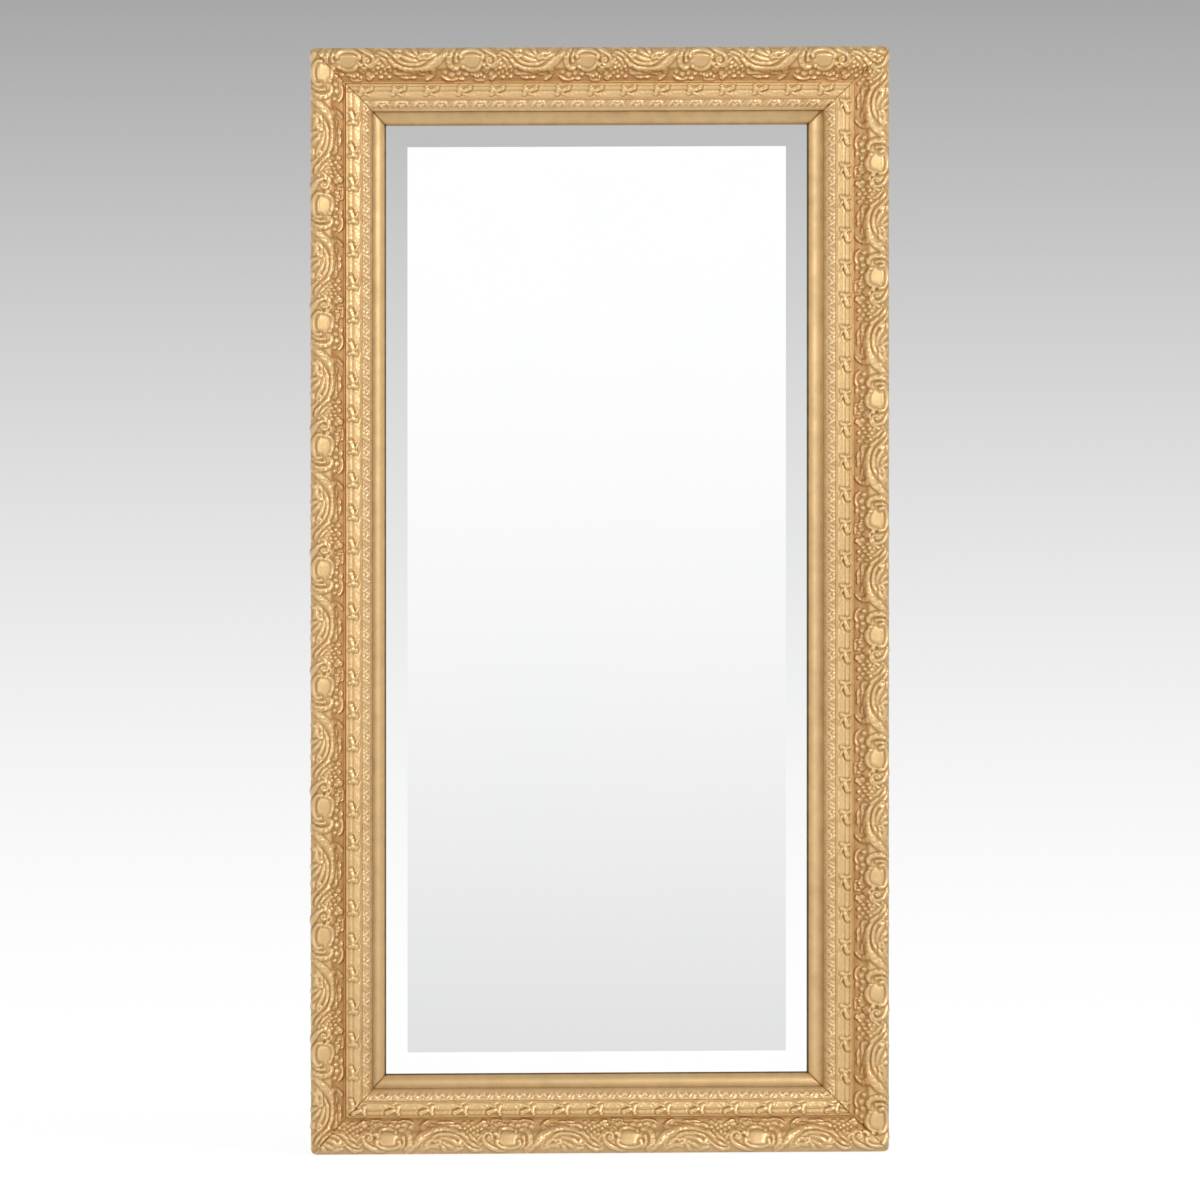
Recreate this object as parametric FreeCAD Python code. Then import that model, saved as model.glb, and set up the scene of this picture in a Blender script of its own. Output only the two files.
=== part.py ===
"""Gilt wall mirror, in millimetres: four mitred pine rails dressed with pressed composition ornament,
a gilt slip, a bevelled plate, a boarded back held by turn buttons, and two ring hangers.

+Z is up, the plate faces -Y and the wall is on the +Y side. The origin is the centre of the overall box.
A moulding section is drawn with v, the distance inward from the frame's outer edge, and f, the height
forward of the frame's back. Along a rail, u runs from its middle, clockwise round the frame as seen
from the front. All four rails are made as a top rail, and then turned about Y to their sides.
"""

import FreeCAD
import Part
import math
import os

Vector = FreeCAD.Vector

# Overall size
WIDTH = 736.0
HEIGHT = 1400.0

# Widths of the moulding's bands, from the outer edge to the sight edge
ORNAMENT_WIDTH = 45.5
RIBBON_WIDTH = 21.0
LEAF_WIDTH = 14.5
SLIP_SHOW = 19.0

# Heights of the moulding's front
CREST_HEIGHT = 62.0
SIDE_HEIGHT = 34.0
SHOULDER_DROP = 12.0
LAND_DROP = 6.5
HOLLOW_DROP = 22.0
FILLET_RISE = 5.0
RIBBON_FALL = 5.5
LEAF_FALL = 9.5
LIP_THICKNESS = 6.0

# Shape of the ornament's section
CREST_INSET = 11.0
LAND_WIDTH = 16.0
SHOULDER_BULGE = 3.4
SIDE_SET_BACK = 8.0
OGEE_HOLLOW = 3.5
FILLET_WIDTH = 4.0
FILLET_STEP = 1.6
LEAF_BULGE = 1.2
HOLLOW_FLOOR = 7.5
COMPO_THICKNESS = 4.5
LIP_SEAT = 3.5

# Raised forms pressed into the composition, whose lengths vary a little from one cartouche to the next
ORNAMENT_REPEAT = 153.0
CARTOUCHES = {
    "top": (-323, -165, -18, 126, 283),
    "right": (-554, -410, -254, -102, 44, 201, 350, 498, 660),
    "bottom": (-201, -37, 117, 270),
    "left": (-573, -425, -260, -108, 40, 196, 352, 500, 669),
}
CARTOUCHE_RADIUS = 12.5
CARTOUCHE_RIM = 3.0
CARTOUCHE_RISE = 2.6
VOLUTE_RADIUS = 6.0
VOLUTE_AFTER = 25.0
MOON_WIDTH = 62.0
MOON_DEPTH = 14.0
MOON_RIB_RADIUS = 2.6
MOON_BEFORE = 69.0
RIBBON_REPEAT = 41.4
TIE_RADIUS = 3.2
TIE_MARGIN = 2.5
LEAF_REPEAT = 25.4
LEAF_TIP_RADIUS = 4.2

# Slip
LIP_OVERLAP = 9.0
SLIP_CLEARANCE = 0.3
SLIP_COVE = 4.0
SLIP_COVE_BULGE = 1.0
SIGHT_NOSE = 2.5
SIGHT_EDGE = 0.9
NOSE_BULGE = 0.5

# Plate
SIGHT_COVER = 6.0
PLATE_THICKNESS = 6.0
PLATE_EDGE = 3.0
BEVEL_SHOW = 27.0
PLATE_CLEARANCE = 0.05

# Glazing blocks round the plate
BLOCK_THICKNESS = 2.0
BLOCK_LENGTH = 45.0
SHORT_SIDE_BLOCK_COUNT = 2
LONG_SIDE_BLOCK_COUNT = 3

# Back
BACKING_THICKNESS = 0.7
BOARD_THICKNESS = 7.0
BOARD_GAP = 1.5
BOARD_COUNT = 3
BOARD_JOINT = 0.6
TONGUE_LENGTH = 5.0
TONGUE_THICKNESS = 2.4
TONGUE_CLEARANCE = 0.2

# Mitre splines
SPLINE_LENGTH = 46.0
SPLINE_REACH = 12.0
SPLINE_THICKNESS = 4.0
SPLINE_HEIGHT = 15.0

# Slip brads
BRAD_DIAMETER = 1.4
BRAD_BITE = 3.0
SHORT_SIDE_BRAD_COUNT = 2
LONG_SIDE_BRAD_COUNT = 4

# Turn buttons
BUTTON_THICKNESS = 2.0
BUTTON_GAP = 0.3
BUTTON_ROOT_RADIUS = 6.0
BUTTON_NOSE_RADIUS = 4.5
BUTTON_REACH = 20.0
BUTTON_INSET = 9.0
BUTTON_FLOAT = 0.1
PIVOT_CLEARANCE = 0.08
SHORT_SIDE_BUTTON_COUNT = 1
LONG_SIDE_BUTTON_COUNT = 3

# Round-head wood screws, for the buttons and the hangers
SCREW_DIAMETER = 3.5
SCREW_LENGTH = 15.0
SCREW_TIP = 4.0
SCREW_HEAD_DIAMETER = 7.0
SCREW_HEAD_HEIGHT = 2.2
SCREW_SLOT_WIDTH = 0.9
SCREW_SLOT_DEPTH = 1.0

# Ring hangers
HANGER_HEIGHT = 350.0
HANGER_INSET = 38.0
STRAP_WIDTH = 14.0
STRAP_LENGTH = 46.0
STRAP_THICKNESS = 1.5
STRAP_END_RADIUS = 6.0
STRAP_SCREWS = (12.0, 34.0)
RING_WIRE = 3.5
RING_CLEARANCE = 0.1
RING_WIDTH = 24.0
RING_LEG = 5.0
RING_CORNER = 3.0
RING_STANDOFF = 0.3

# Wall bumpers
BUMPER_DIAMETER = 16.0
BUMPER_THICKNESS = 7.0
BUMPER_INSET = 22.0
BUMPER_EDGE = 1.0

# Overhang of cutting blocks past what they cut
MARGIN = 20.0

# Distance within which two places are the same
TOUCHING = 1e-6

# Places worked out from the sizes: v values
V_SEAT = COMPO_THICKNESS
V_CREST = CREST_INSET
V_LAND = V_CREST + LAND_WIDTH
V_ORNAMENT = ORNAMENT_WIDTH
V_FLOOR = V_ORNAMENT - HOLLOW_FLOOR
V_FILLET = V_ORNAMENT + FILLET_WIDTH
V_RIBBON = V_ORNAMENT + RIBBON_WIDTH
V_LIP = V_RIBBON + LEAF_WIDTH
V_SIGHT = V_LIP + SLIP_SHOW
V_REBATE = V_LIP - LIP_OVERLAP
V_SLIP = V_REBATE + SLIP_CLEARANCE
V_BOARD = V_REBATE + BOARD_GAP
V_PLATE = V_SIGHT - SIGHT_COVER
V_PLATE_WALL = V_PLATE - BLOCK_THICKNESS
V_BRAD = (V_SLIP + V_LIP) / 2

# Places worked out from the sizes: f values
F_SHOULDER = CREST_HEIGHT - SHOULDER_DROP
V_SIDE = SIDE_SET_BACK * (1 - SIDE_HEIGHT / F_SHOULDER)
F_LAND = CREST_HEIGHT - LAND_DROP
F_HOLLOW = CREST_HEIGHT - HOLLOW_DROP
F_FILLET = F_HOLLOW + FILLET_RISE
F_RIBBON = F_FILLET - RIBBON_FALL
F_LIP = F_RIBBON - LEAF_FALL
F_LIP_UNDER = F_LIP - LIP_THICKNESS
F_LIP_SEAT = F_LIP - LIP_SEAT
F_RIBBON_SEAT = F_RIBBON - COMPO_THICKNESS
F_FILLET_SEAT = F_HOLLOW - COMPO_THICKNESS / 3
F_FLOOR = F_HOLLOW - COMPO_THICKNESS
F_BACKING = BUTTON_GAP + BOARD_THICKNESS
F_PLATE = F_BACKING + BACKING_THICKNESS
BEVEL_SLOPE = (PLATE_THICKNESS - PLATE_EDGE) / (BEVEL_SHOW + SIGHT_COVER)
F_SIGHT = F_PLATE + PLATE_EDGE + BEVEL_SLOPE * SIGHT_COVER + PLATE_CLEARANCE

# Places worked out from the sizes: in depth, where the cartouches' rims stand furthest forward
LAND_SLOPE = math.atan2(LAND_DROP, LAND_WIDTH)
RIM_MIDDLE = CARTOUCHE_RADIUS - CARTOUCHE_RIM / 2
RIM_LEVEL = CARTOUCHE_RISE - CARTOUCHE_RIM / 2
CARTOUCHE_ROOT = 0.9 * COMPO_THICKNESS * math.cos(LAND_SLOPE)
BAND_ROOT = LIP_SEAT / 2
F_RIM = RIM_MIDDLE * math.sin(LAND_SLOPE) + RIM_LEVEL * math.cos(LAND_SLOPE) + CARTOUCHE_RIM / 2
F_FRONT = (CREST_HEIGHT + F_LAND) / 2 + F_RIM
DEPTH = F_FRONT + BUMPER_THICKNESS
Y_BACK = DEPTH / 2 - BUMPER_THICKNESS

# Each side's length, its outer edge's distance from the centre, and its turn about Y
SIDES = {
    "top": (WIDTH, HEIGHT / 2, 0),
    "right": (HEIGHT, WIDTH / 2, 90),
    "bottom": (WIDTH, HEIGHT / 2, 180),
    "left": (HEIGHT, WIDTH / 2, 270),
}
LONG_SIDES = ("right", "left")


def arc_to(start, end, rise):
    """Arc edge between two points of the section plane, rising to the left of the straight line."""
    (v0, f0), (v1, f1) = start, end
    chord = math.hypot(v1 - v0, f1 - f0)
    middle = (
        (v0 + v1) / 2 - rise * (f1 - f0) / chord,
        (f0 + f1) / 2 + rise * (v1 - v0) / chord,
    )
    return Part.Arc(point(*start), point(*middle), point(*end)).toShape()


def point(v, f):
    """Section point (v, f), in the plane of a top rail's section whose outer back corner is the origin."""
    return Vector(0, -f, -v)


def section(corners):
    """Closed face with these corners. (v, f) is reached straight, and (v, f, rise) by an arc."""
    edges = []
    for before, corner in zip([corners[-1]] + corners[:-1], corners):
        start = before[:2]
        end = corner[:2]
        if len(corner) == 3:
            edges.append(arc_to(start, end, corner[2]))
        else:
            edges.append(Part.makeLine(point(*start), point(*end)))
    return Part.Face(Part.Wire(edges))


def polygon_prism(corners, y0, y1):
    """Prism between two depths, over a polygon of (x, z) corners."""
    loop = [Vector(x, y0, z) for x, z in corners]
    face = Part.Face(Part.makePolygon(loop + loop[:1]))
    return face.extrude(Vector(0, y1 - y0, 0))


def mitred(bar, length, half):
    """The bar, cut at 45 degrees at both ends of a rail of this length."""
    inner = V_SIGHT + MARGIN
    corners = [
        (-length / 2 - MARGIN, half + MARGIN),
        (length / 2 + MARGIN, half + MARGIN),
        (length / 2 - inner, half - inner),
        (-length / 2 + inner, half - inner),
    ]
    return bar.common(polygon_prism(corners, Y_BACK + MARGIN, Y_BACK - CREST_HEIGHT - MARGIN))


def bar_of(corners, length, half):
    """Straight bar of a section, a little longer than its rail, in the top rail's place."""
    bar = section(corners).extrude(Vector(length + 2 * MARGIN, 0, 0))
    bar.translate(Vector(-length / 2 - MARGIN, Y_BACK, half))
    return bar


def place(shape, side):
    """A shape made for the top rail, turned to another side."""
    turned = shape.copy()
    turned.rotate(Vector(0, 0, 0), Vector(0, 1, 0), SIDES[side][2])
    return turned


def spaced(count, span):
    """Places of this many things along u, in equal shares of a span about the middle."""
    return [span * ((i + 0.5) / count - 0.5) for i in range(count)]


def repeats(pitch, span):
    """Places along u of a pattern at this pitch, one of them in the middle, that lie within a span."""
    each_way = math.floor(span / 2 / pitch)
    return [pitch * i for i in range(-each_way, each_way + 1)]


def cartouche_places(side):
    """Places along u of a side's cartouches: its own list, and whole repeats from there past both ends."""
    listed = CARTOUCHES[side]
    reach = SIDES[side][0] / 2 + ORNAMENT_REPEAT
    before = math.floor((reach + listed[0]) / ORNAMENT_REPEAT)
    after = math.floor((reach - listed[-1]) / ORNAMENT_REPEAT)
    first = [listed[0] - ORNAMENT_REPEAT * i for i in range(before, 0, -1)]
    last = [listed[-1] + ORNAMENT_REPEAT * i for i in range(1, after + 1)]
    return [*first, *listed, *last]


def rail_corners():
    """Pine rail: flat back, rebate for the slip, steps that seat the composition, and a sloping side."""
    return [
        (SIDE_SET_BACK, 0),
        (V_REBATE, 0),
        (V_REBATE, F_LIP_UNDER),
        (V_LIP, F_LIP_UNDER),
        (V_LIP, F_LIP_SEAT),
        (V_RIBBON, F_RIBBON_SEAT),
        (V_ORNAMENT, F_FILLET_SEAT),
        (V_ORNAMENT, F_FLOOR),
        (V_FLOOR, F_FLOOR),
        (V_LAND, F_LAND - COMPO_THICKNESS),
        (V_CREST, CREST_HEIGHT - COMPO_THICKNESS),
        (V_SEAT, F_SHOULDER),
        (V_SEAT, SIDE_HEIGHT),
        (V_SIDE, SIDE_HEIGHT),
    ]


def ornament_corners():
    """Outer run of composition: rounded shoulder, sloping land, and an ogee down to the hollow."""
    return [
        (V_SIDE, SIDE_HEIGHT),
        (0, F_SHOULDER),
        (V_CREST, CREST_HEIGHT, SHOULDER_BULGE),
        (V_LAND, F_LAND),
        (V_ORNAMENT, F_HOLLOW, -OGEE_HOLLOW),
        (V_ORNAMENT, F_FLOOR),
        (V_FLOOR, F_FLOOR),
        (V_LAND, F_LAND - COMPO_THICKNESS),
        (V_CREST, CREST_HEIGHT - COMPO_THICKNESS),
        (V_SEAT, F_SHOULDER),
        (V_SEAT, SIDE_HEIGHT),
    ]


def ribbon_corners():
    """Middle run of composition: a raised fillet, then a sloping band."""
    return [
        (V_ORNAMENT, F_FILLET_SEAT),
        (V_ORNAMENT, F_FILLET),
        (V_FILLET, F_FILLET),
        (V_FILLET, F_FILLET - FILLET_STEP),
        (V_RIBBON, F_RIBBON),
        (V_RIBBON, F_RIBBON_SEAT),
    ]


def leaf_corners():
    """Inner run of composition: a rounded band that falls to the rail's lip."""
    return [
        (V_RIBBON, F_RIBBON_SEAT),
        (V_RIBBON, F_RIBBON),
        (V_LIP, F_LIP, LEAF_BULGE),
        (V_LIP, F_LIP_SEAT),
    ]


def slip_corners():
    """Gilt slip: tongue under the rail's lip, cove, slope and rounded sight edge, rebated for the plate."""
    v_slope = V_LIP + SLIP_COVE
    f_slope = F_LIP_UNDER - SLIP_COVE
    f_nose = F_SIGHT + SIGHT_EDGE + SIGHT_NOSE / 2
    return [
        (V_SLIP, F_PLATE),
        (V_SLIP, F_LIP_UNDER),
        (V_LIP, F_LIP_UNDER),
        (v_slope, f_slope, -SLIP_COVE_BULGE),
        (V_SIGHT - SIGHT_NOSE, f_nose),
        (V_SIGHT, F_SIGHT + SIGHT_EDGE, NOSE_BULGE),
        (V_SIGHT, F_SIGHT),
        (V_PLATE_WALL, F_SIGHT),
        (V_PLATE_WALL, F_PLATE),
    ]


def stand_on(form, u, half, low, high):
    """A form made on the XY plane, set on the slope from low to high, two (v, f) points, at its middle."""
    slope = math.degrees(math.atan2(low[1] - high[1], low[0] - high[0]))
    form.rotate(Vector(0, 0, 0), Vector(1, 0, 0), 90 - slope)
    v = (low[0] + high[0]) / 2
    f = (low[1] + high[1]) / 2
    form.translate(Vector(u, Y_BACK - f, half - v))
    return form


def cartouche():
    """Round boss with a raised rim and a slightly domed field, turned about Z."""
    rim_outer = Vector(CARTOUCHE_RADIUS, 0, RIM_LEVEL)
    rim_inner = Vector(CARTOUCHE_RADIUS - CARTOUCHE_RIM, 0, RIM_LEVEL)
    root_middle = Vector(0, 0, -CARTOUCHE_ROOT)
    root_outer = Vector(CARTOUCHE_RADIUS, 0, -CARTOUCHE_ROOT)
    field = Vector(0, 0, CARTOUCHE_RISE)
    edges = [
        Part.makeLine(root_middle, root_outer),
        Part.makeLine(root_outer, rim_outer),
        Part.Arc(rim_outer, Vector(RIM_MIDDLE, 0, CARTOUCHE_RISE), rim_inner).toShape(),
        Part.makeLine(rim_inner, field),
        Part.makeLine(field, root_middle),
    ]
    return Part.Face(Part.Wire(edges)).revolve(Vector(0, 0, 0), Vector(0, 0, 1), 360)


def volute():
    """Round scroll end after the cartouche: the cap of a ball."""
    return cap(VOLUTE_RADIUS, CARTOUCHE_ROOT, VOLUTE_AFTER)


def half_moon():
    """Arched rib of the half-moon leaf: a bow of round section that hangs from the crest."""
    crest = math.hypot(LAND_WIDTH, LAND_DROP) / 2
    radius = (MOON_WIDTH ** 2 / 4 + MOON_DEPTH ** 2) / (2 * MOON_DEPTH)
    half_angle = math.degrees(math.asin(MOON_WIDTH / 2 / radius))
    rib = Part.makeTorus(
        radius, MOON_RIB_RADIUS, Vector(0, 0, 0), Vector(0, 0, 1), 0, 360, 2 * half_angle
    )
    rib.rotate(Vector(0, 0, 0), Vector(0, 0, 1), -90 - half_angle)
    rib.translate(Vector(-MOON_BEFORE, crest - MOON_DEPTH + radius, -MOON_RIB_RADIUS / 3))
    return rib


def cap(radius, root, x):
    """Cap of a ball whose centre is a third of its radius under the surface, with a flat root."""
    ball = Part.makeSphere(radius, Vector(x, 0, -radius / 3))
    above = Part.makeBox(2 * radius, 2 * radius, 2 * radius, Vector(x - radius, -radius, -root))
    return ball.common(above)


def ribbon_tie():
    """Round wrap across the ribbon band: a cylinder sunk in it, with a flat root."""
    width = RIBBON_WIDTH - FILLET_WIDTH - 2 * TIE_MARGIN
    wrap = Part.makeCylinder(TIE_RADIUS, width, Vector(0, -width / 2, -TIE_RADIUS / 2), Vector(0, 1, 0))
    above = Part.makeBox(
        2 * TIE_RADIUS, width, 2 * TIE_RADIUS, Vector(-TIE_RADIUS, -width / 2, -BAND_ROOT)
    )
    return wrap.common(above)


def leaf_tip():
    """Domed leaf tip: the cap of a ball."""
    return cap(LEAF_TIP_RADIUS, BAND_ROOT, 0)


def pressed_run(corners, length, half, forms, places, low, high):
    """A run of composition with the same raised forms at each place, mitred at its ends."""
    bar = bar_of(corners, length, half)
    raised = [stand_on(form(), u, half, low, high) for u in places for form in forms]
    return mitred(bar.multiFuse(raised), length, half).removeSplitter()


def ornament_run(side):
    """Outer run of one side, with its cartouches, volutes and half-moon leaves."""
    length, half, _turn = SIDES[side]
    run = pressed_run(
        ornament_corners(), length, half, [cartouche, volute, half_moon],
        cartouche_places(side),
        (V_LAND, F_LAND), (V_CREST, CREST_HEIGHT),
    )
    return place(run, side)


def ribbon_run(length, half):
    """Middle run with its ribbon ties."""
    return pressed_run(
        ribbon_corners(), length, half, [ribbon_tie],
        repeats(RIBBON_REPEAT, length - 2 * V_ORNAMENT),
        (V_RIBBON, F_RIBBON), (V_FILLET, F_FILLET - FILLET_STEP),
    )


def leaf_run(length, half):
    """Inner run with its leaf tips."""
    return pressed_run(
        leaf_corners(), length, half, [leaf_tip],
        repeats(LEAF_REPEAT, length - 2 * V_RIBBON),
        (V_LIP, F_LIP), (V_RIBBON, F_RIBBON),
    )


def plain_run(corners, length, half):
    """A plain bar of this section, mitred at both ends."""
    return mitred(bar_of(corners, length, half), length, half)


def upright_box(x0, x1, f0, f1, z0, z1):
    """Box between two x, two f and two z values."""
    return Part.makeBox(x1 - x0, f1 - f0, z1 - z0, Vector(x0, Y_BACK - f1, z0))


def panel(inset, f0, f1):
    """Upright rectangle of the frame's outline less an inset all round, between two f values."""
    return upright_box(
        -WIDTH / 2 + inset, WIDTH / 2 - inset, f0, f1, -HEIGHT / 2 + inset, HEIGHT / 2 - inset
    )


def mirror_plate():
    """Glass plate, flat at the back, whose front is bevelled down to a thin edge."""
    f_edge = F_PLATE + PLATE_EDGE
    f_front = F_PLATE + PLATE_THICKNESS
    bevel = BEVEL_SHOW + SIGHT_COVER
    x_edge = WIDTH / 2 - V_PLATE
    z_edge = HEIGHT / 2 - V_PLATE
    frustum = Part.makeWedge(
        -x_edge + bevel, Y_BACK - f_front, -z_edge + bevel, -z_edge, -x_edge,
        x_edge - bevel, Y_BACK - f_edge, z_edge - bevel, z_edge, x_edge,
    )
    return panel(V_PLATE, F_PLATE, f_edge).fuse(frustum).removeSplitter()


def glazing_blocks():
    """Softwood blocks that centre the plate in the slip's rebate."""
    blocks = []
    for side, (length, half, _turn) in SIDES.items():
        count = LONG_SIDE_BLOCK_COUNT if side in LONG_SIDES else SHORT_SIDE_BLOCK_COUNT
        for u in spaced(count, length - 2 * V_PLATE):
            block = upright_box(
                u - BLOCK_LENGTH / 2, u + BLOCK_LENGTH / 2, F_PLATE, F_PLATE + PLATE_EDGE,
                half - V_PLATE, half - V_PLATE_WALL,
            )
            blocks.append(place(block, side))
    return blocks


def back_boards():
    """Upright boards, tongued on the left edge and grooved on the right, left to right across the back."""
    width = (WIDTH - 2 * V_BOARD - (BOARD_COUNT - 1) * BOARD_JOINT) / BOARD_COUNT
    z_end = HEIGHT / 2 - V_BOARD
    middle = (BUTTON_GAP + F_BACKING) / 2
    boards = []
    for i in range(BOARD_COUNT):
        x0 = -WIDTH / 2 + V_BOARD + i * (width + BOARD_JOINT)
        x1 = x0 + width
        board = upright_box(x0, x1, BUTTON_GAP, F_BACKING, -z_end, z_end)
        if i > 0:
            half = TONGUE_THICKNESS / 2
            tongue = upright_box(x0 - TONGUE_LENGTH, x0, middle - half, middle + half, -z_end, z_end)
            board = board.fuse(tongue).removeSplitter()
        if i < BOARD_COUNT - 1:
            half = TONGUE_THICKNESS / 2 + TONGUE_CLEARANCE
            depth = TONGUE_LENGTH - BOARD_JOINT + TONGUE_CLEARANCE
            groove = upright_box(
                x1 - depth, x1 + MARGIN, middle - half, middle + half, -z_end - MARGIN, z_end + MARGIN
            )
            board = board.cut(groove)
        boards.append(board)
    return boards


def mitre_spline(side):
    """Hardwood feather let into the mitre at the clockwise end of a side, square to the joint."""
    length, half, _turn = SIDES[side]
    feather = Part.makeBox(
        2 * SPLINE_REACH, SPLINE_THICKNESS, SPLINE_LENGTH,
        Vector(-SPLINE_REACH, -SPLINE_THICKNESS / 2, -SPLINE_LENGTH / 2),
    )
    feather.rotate(Vector(0, 0, 0), Vector(0, 1, 0), 45)
    v_middle = V_REBATE / 2
    feather.translate(Vector(length / 2 - v_middle, Y_BACK - SPLINE_HEIGHT, half - v_middle))
    return place(feather, side)


def slip_brads(side):
    """Headless pins through the slip's tongue into the rail's lip, along one side."""
    length, half, _turn = SIDES[side]
    count = LONG_SIDE_BRAD_COUNT if side in LONG_SIDES else SHORT_SIDE_BRAD_COUNT
    long_enough = F_LIP_UNDER + BRAD_BITE - F_PLATE
    brads = []
    for u in spaced(count, length - 2 * V_SIGHT):
        brad = Part.makeCylinder(
            BRAD_DIAMETER / 2, long_enough, Vector(u, Y_BACK - F_PLATE, half - V_BRAD), Vector(0, -1, 0)
        )
        brads.append(place(brad, side))
    return brads


def screw(x, z, f_head):
    """Slotted round-head screw whose head's underside is at f_head, driven forward into the rail."""
    radius = SCREW_DIAMETER / 2
    head = SCREW_HEAD_DIAMETER / 2
    core = [
        Vector(0, 0, -SCREW_LENGTH),
        Vector(radius, 0, SCREW_TIP - SCREW_LENGTH),
        Vector(radius, 0, 0),
        Vector(head, 0, 0),
    ]
    edges = [Part.makeLine(a, b) for a, b in zip(core, core[1:])]
    crown = Vector(0, 0, SCREW_HEAD_HEIGHT)
    haunch = Vector(head * math.cos(math.pi / 4), 0, SCREW_HEAD_HEIGHT * math.sin(math.pi / 4))
    edges.append(Part.Arc(core[-1], haunch, crown).toShape())
    edges.append(Part.makeLine(crown, core[0]))
    body = Part.Face(Part.Wire(edges)).revolve(Vector(0, 0, 0), Vector(0, 0, 1), 360)
    slot = Part.makeBox(
        SCREW_HEAD_DIAMETER, SCREW_SLOT_WIDTH, SCREW_HEAD_HEIGHT,
        Vector(-head, -SCREW_SLOT_WIDTH / 2, SCREW_HEAD_HEIGHT - SCREW_SLOT_DEPTH),
    )
    body = body.cut(slot)
    body.rotate(Vector(0, 0, 0), Vector(1, 0, 0), -90)
    body.translate(Vector(x, Y_BACK - f_head, z))
    return body


def button_places(side):
    """Pivot places of a side's turn buttons, as u values."""
    length = SIDES[side][0]
    count = LONG_SIDE_BUTTON_COUNT if side in LONG_SIDES else SHORT_SIDE_BUTTON_COUNT
    return spaced(count, length - 2 * V_REBATE)


def turn_button(side, u):
    """Flat pear-shaped plate on its pivot, with its nose over the back boards."""
    half = SIDES[side][1]
    spread = math.acos((BUTTON_ROOT_RADIUS - BUTTON_NOSE_RADIUS) / BUTTON_REACH)
    across = math.sin(spread)
    along = math.cos(spread)

    def rim(radius, centre, side_sign):
        return Vector(side_sign * radius * across, 0, centre - radius * along)

    root_end = Vector(0, 0, BUTTON_ROOT_RADIUS)
    nose_end = Vector(0, 0, -BUTTON_REACH - BUTTON_NOSE_RADIUS)
    root = [rim(BUTTON_ROOT_RADIUS, 0, s) for s in (-1, 1)]
    nose = [rim(BUTTON_NOSE_RADIUS, -BUTTON_REACH, s) for s in (-1, 1)]
    edges = [
        Part.Arc(root[0], root_end, root[1]).toShape(),
        Part.makeLine(root[1], nose[1]),
        Part.Arc(nose[1], nose_end, nose[0]).toShape(),
        Part.makeLine(nose[0], root[0]),
    ]
    plate = Part.Face(Part.Wire(edges)).extrude(Vector(0, BUTTON_THICKNESS, 0))
    hole = Part.makeCylinder(
        SCREW_DIAMETER / 2 + PIVOT_CLEARANCE, BUTTON_THICKNESS, Vector(0, 0, 0), Vector(0, 1, 0)
    )
    plate = plate.cut(hole)
    plate.translate(Vector(u, Y_BACK + BUTTON_FLOAT, half - V_REBATE + BUTTON_INSET))
    return place(plate, side)


def button_screw(side, u):
    """The screw that a turn button pivots on."""
    half = SIDES[side][1]
    under_head = -BUTTON_THICKNESS - 2 * BUTTON_FLOAT
    return place(screw(u, half - V_REBATE + BUTTON_INSET, under_head), side)


def hanger_x(sign):
    """Distance of a hanger from the middle, to the left for -1 and to the right for 1."""
    return sign * (WIDTH / 2 - HANGER_INSET)


def eye_radius():
    """Outer radius of the strap's rolled eye."""
    return RING_WIRE / 2 + RING_CLEARANCE + STRAP_THICKNESS


def ring_lean():
    """Angle, in degrees, by which a raised ring leans on to the rail, short of touching it."""
    reach = RING_CORNER + RING_LEG + RING_WIDTH / 2
    return math.degrees(math.asin((eye_radius() - RING_WIRE / 2 - RING_STANDOFF) / reach))


def hanger_strap(sign):
    """Steel strap flat on the rail's back, rolled into an eye at its top end, with holes for its screws."""
    x = hanger_x(sign)
    half = STRAP_WIDTH / 2
    plate = Part.makeBox(
        STRAP_WIDTH, STRAP_THICKNESS, STRAP_LENGTH, Vector(x - half, Y_BACK, HANGER_HEIGHT - STRAP_LENGTH)
    )
    plate = plate.makeFillet(STRAP_END_RADIUS, [e for e in plate.Edges if is_low_corner(e)])
    axis = Vector(x - half, Y_BACK + eye_radius(), HANGER_HEIGHT)
    eye = Part.makeCylinder(eye_radius(), STRAP_WIDTH, axis, Vector(1, 0, 0))
    bore = Part.makeCylinder(eye_radius() - STRAP_THICKNESS, STRAP_WIDTH, axis, Vector(1, 0, 0))
    return plate.fuse(eye).cut(bore).removeSplitter()


def is_low_corner(edge):
    """Whether a strap's edge runs through its thickness at its lower end."""
    along = edge.tangentAt(edge.FirstParameter)
    low = HANGER_HEIGHT - STRAP_LENGTH
    return abs(along.y) > 0.9 and abs(edge.CenterOfMass.z - low) < TOUCHING


def hanger_screws(sign):
    """The screws of one strap."""
    x = hanger_x(sign)
    return [screw(x, HANGER_HEIGHT - drop, -STRAP_THICKNESS) for drop in STRAP_SCREWS]


def wire_bend(radius, start, sweep, centre):
    """Bend of the ring's wire in the XZ plane. Angles run from +Z towards +X."""
    bend = Part.makeTorus(radius, RING_WIRE / 2, Vector(0, 0, 0), Vector(0, 1, 0), 0, 360, sweep)
    bend.rotate(Vector(0, 0, 0), Vector(0, 1, 0), start)
    bend.translate(centre)
    return bend


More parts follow.
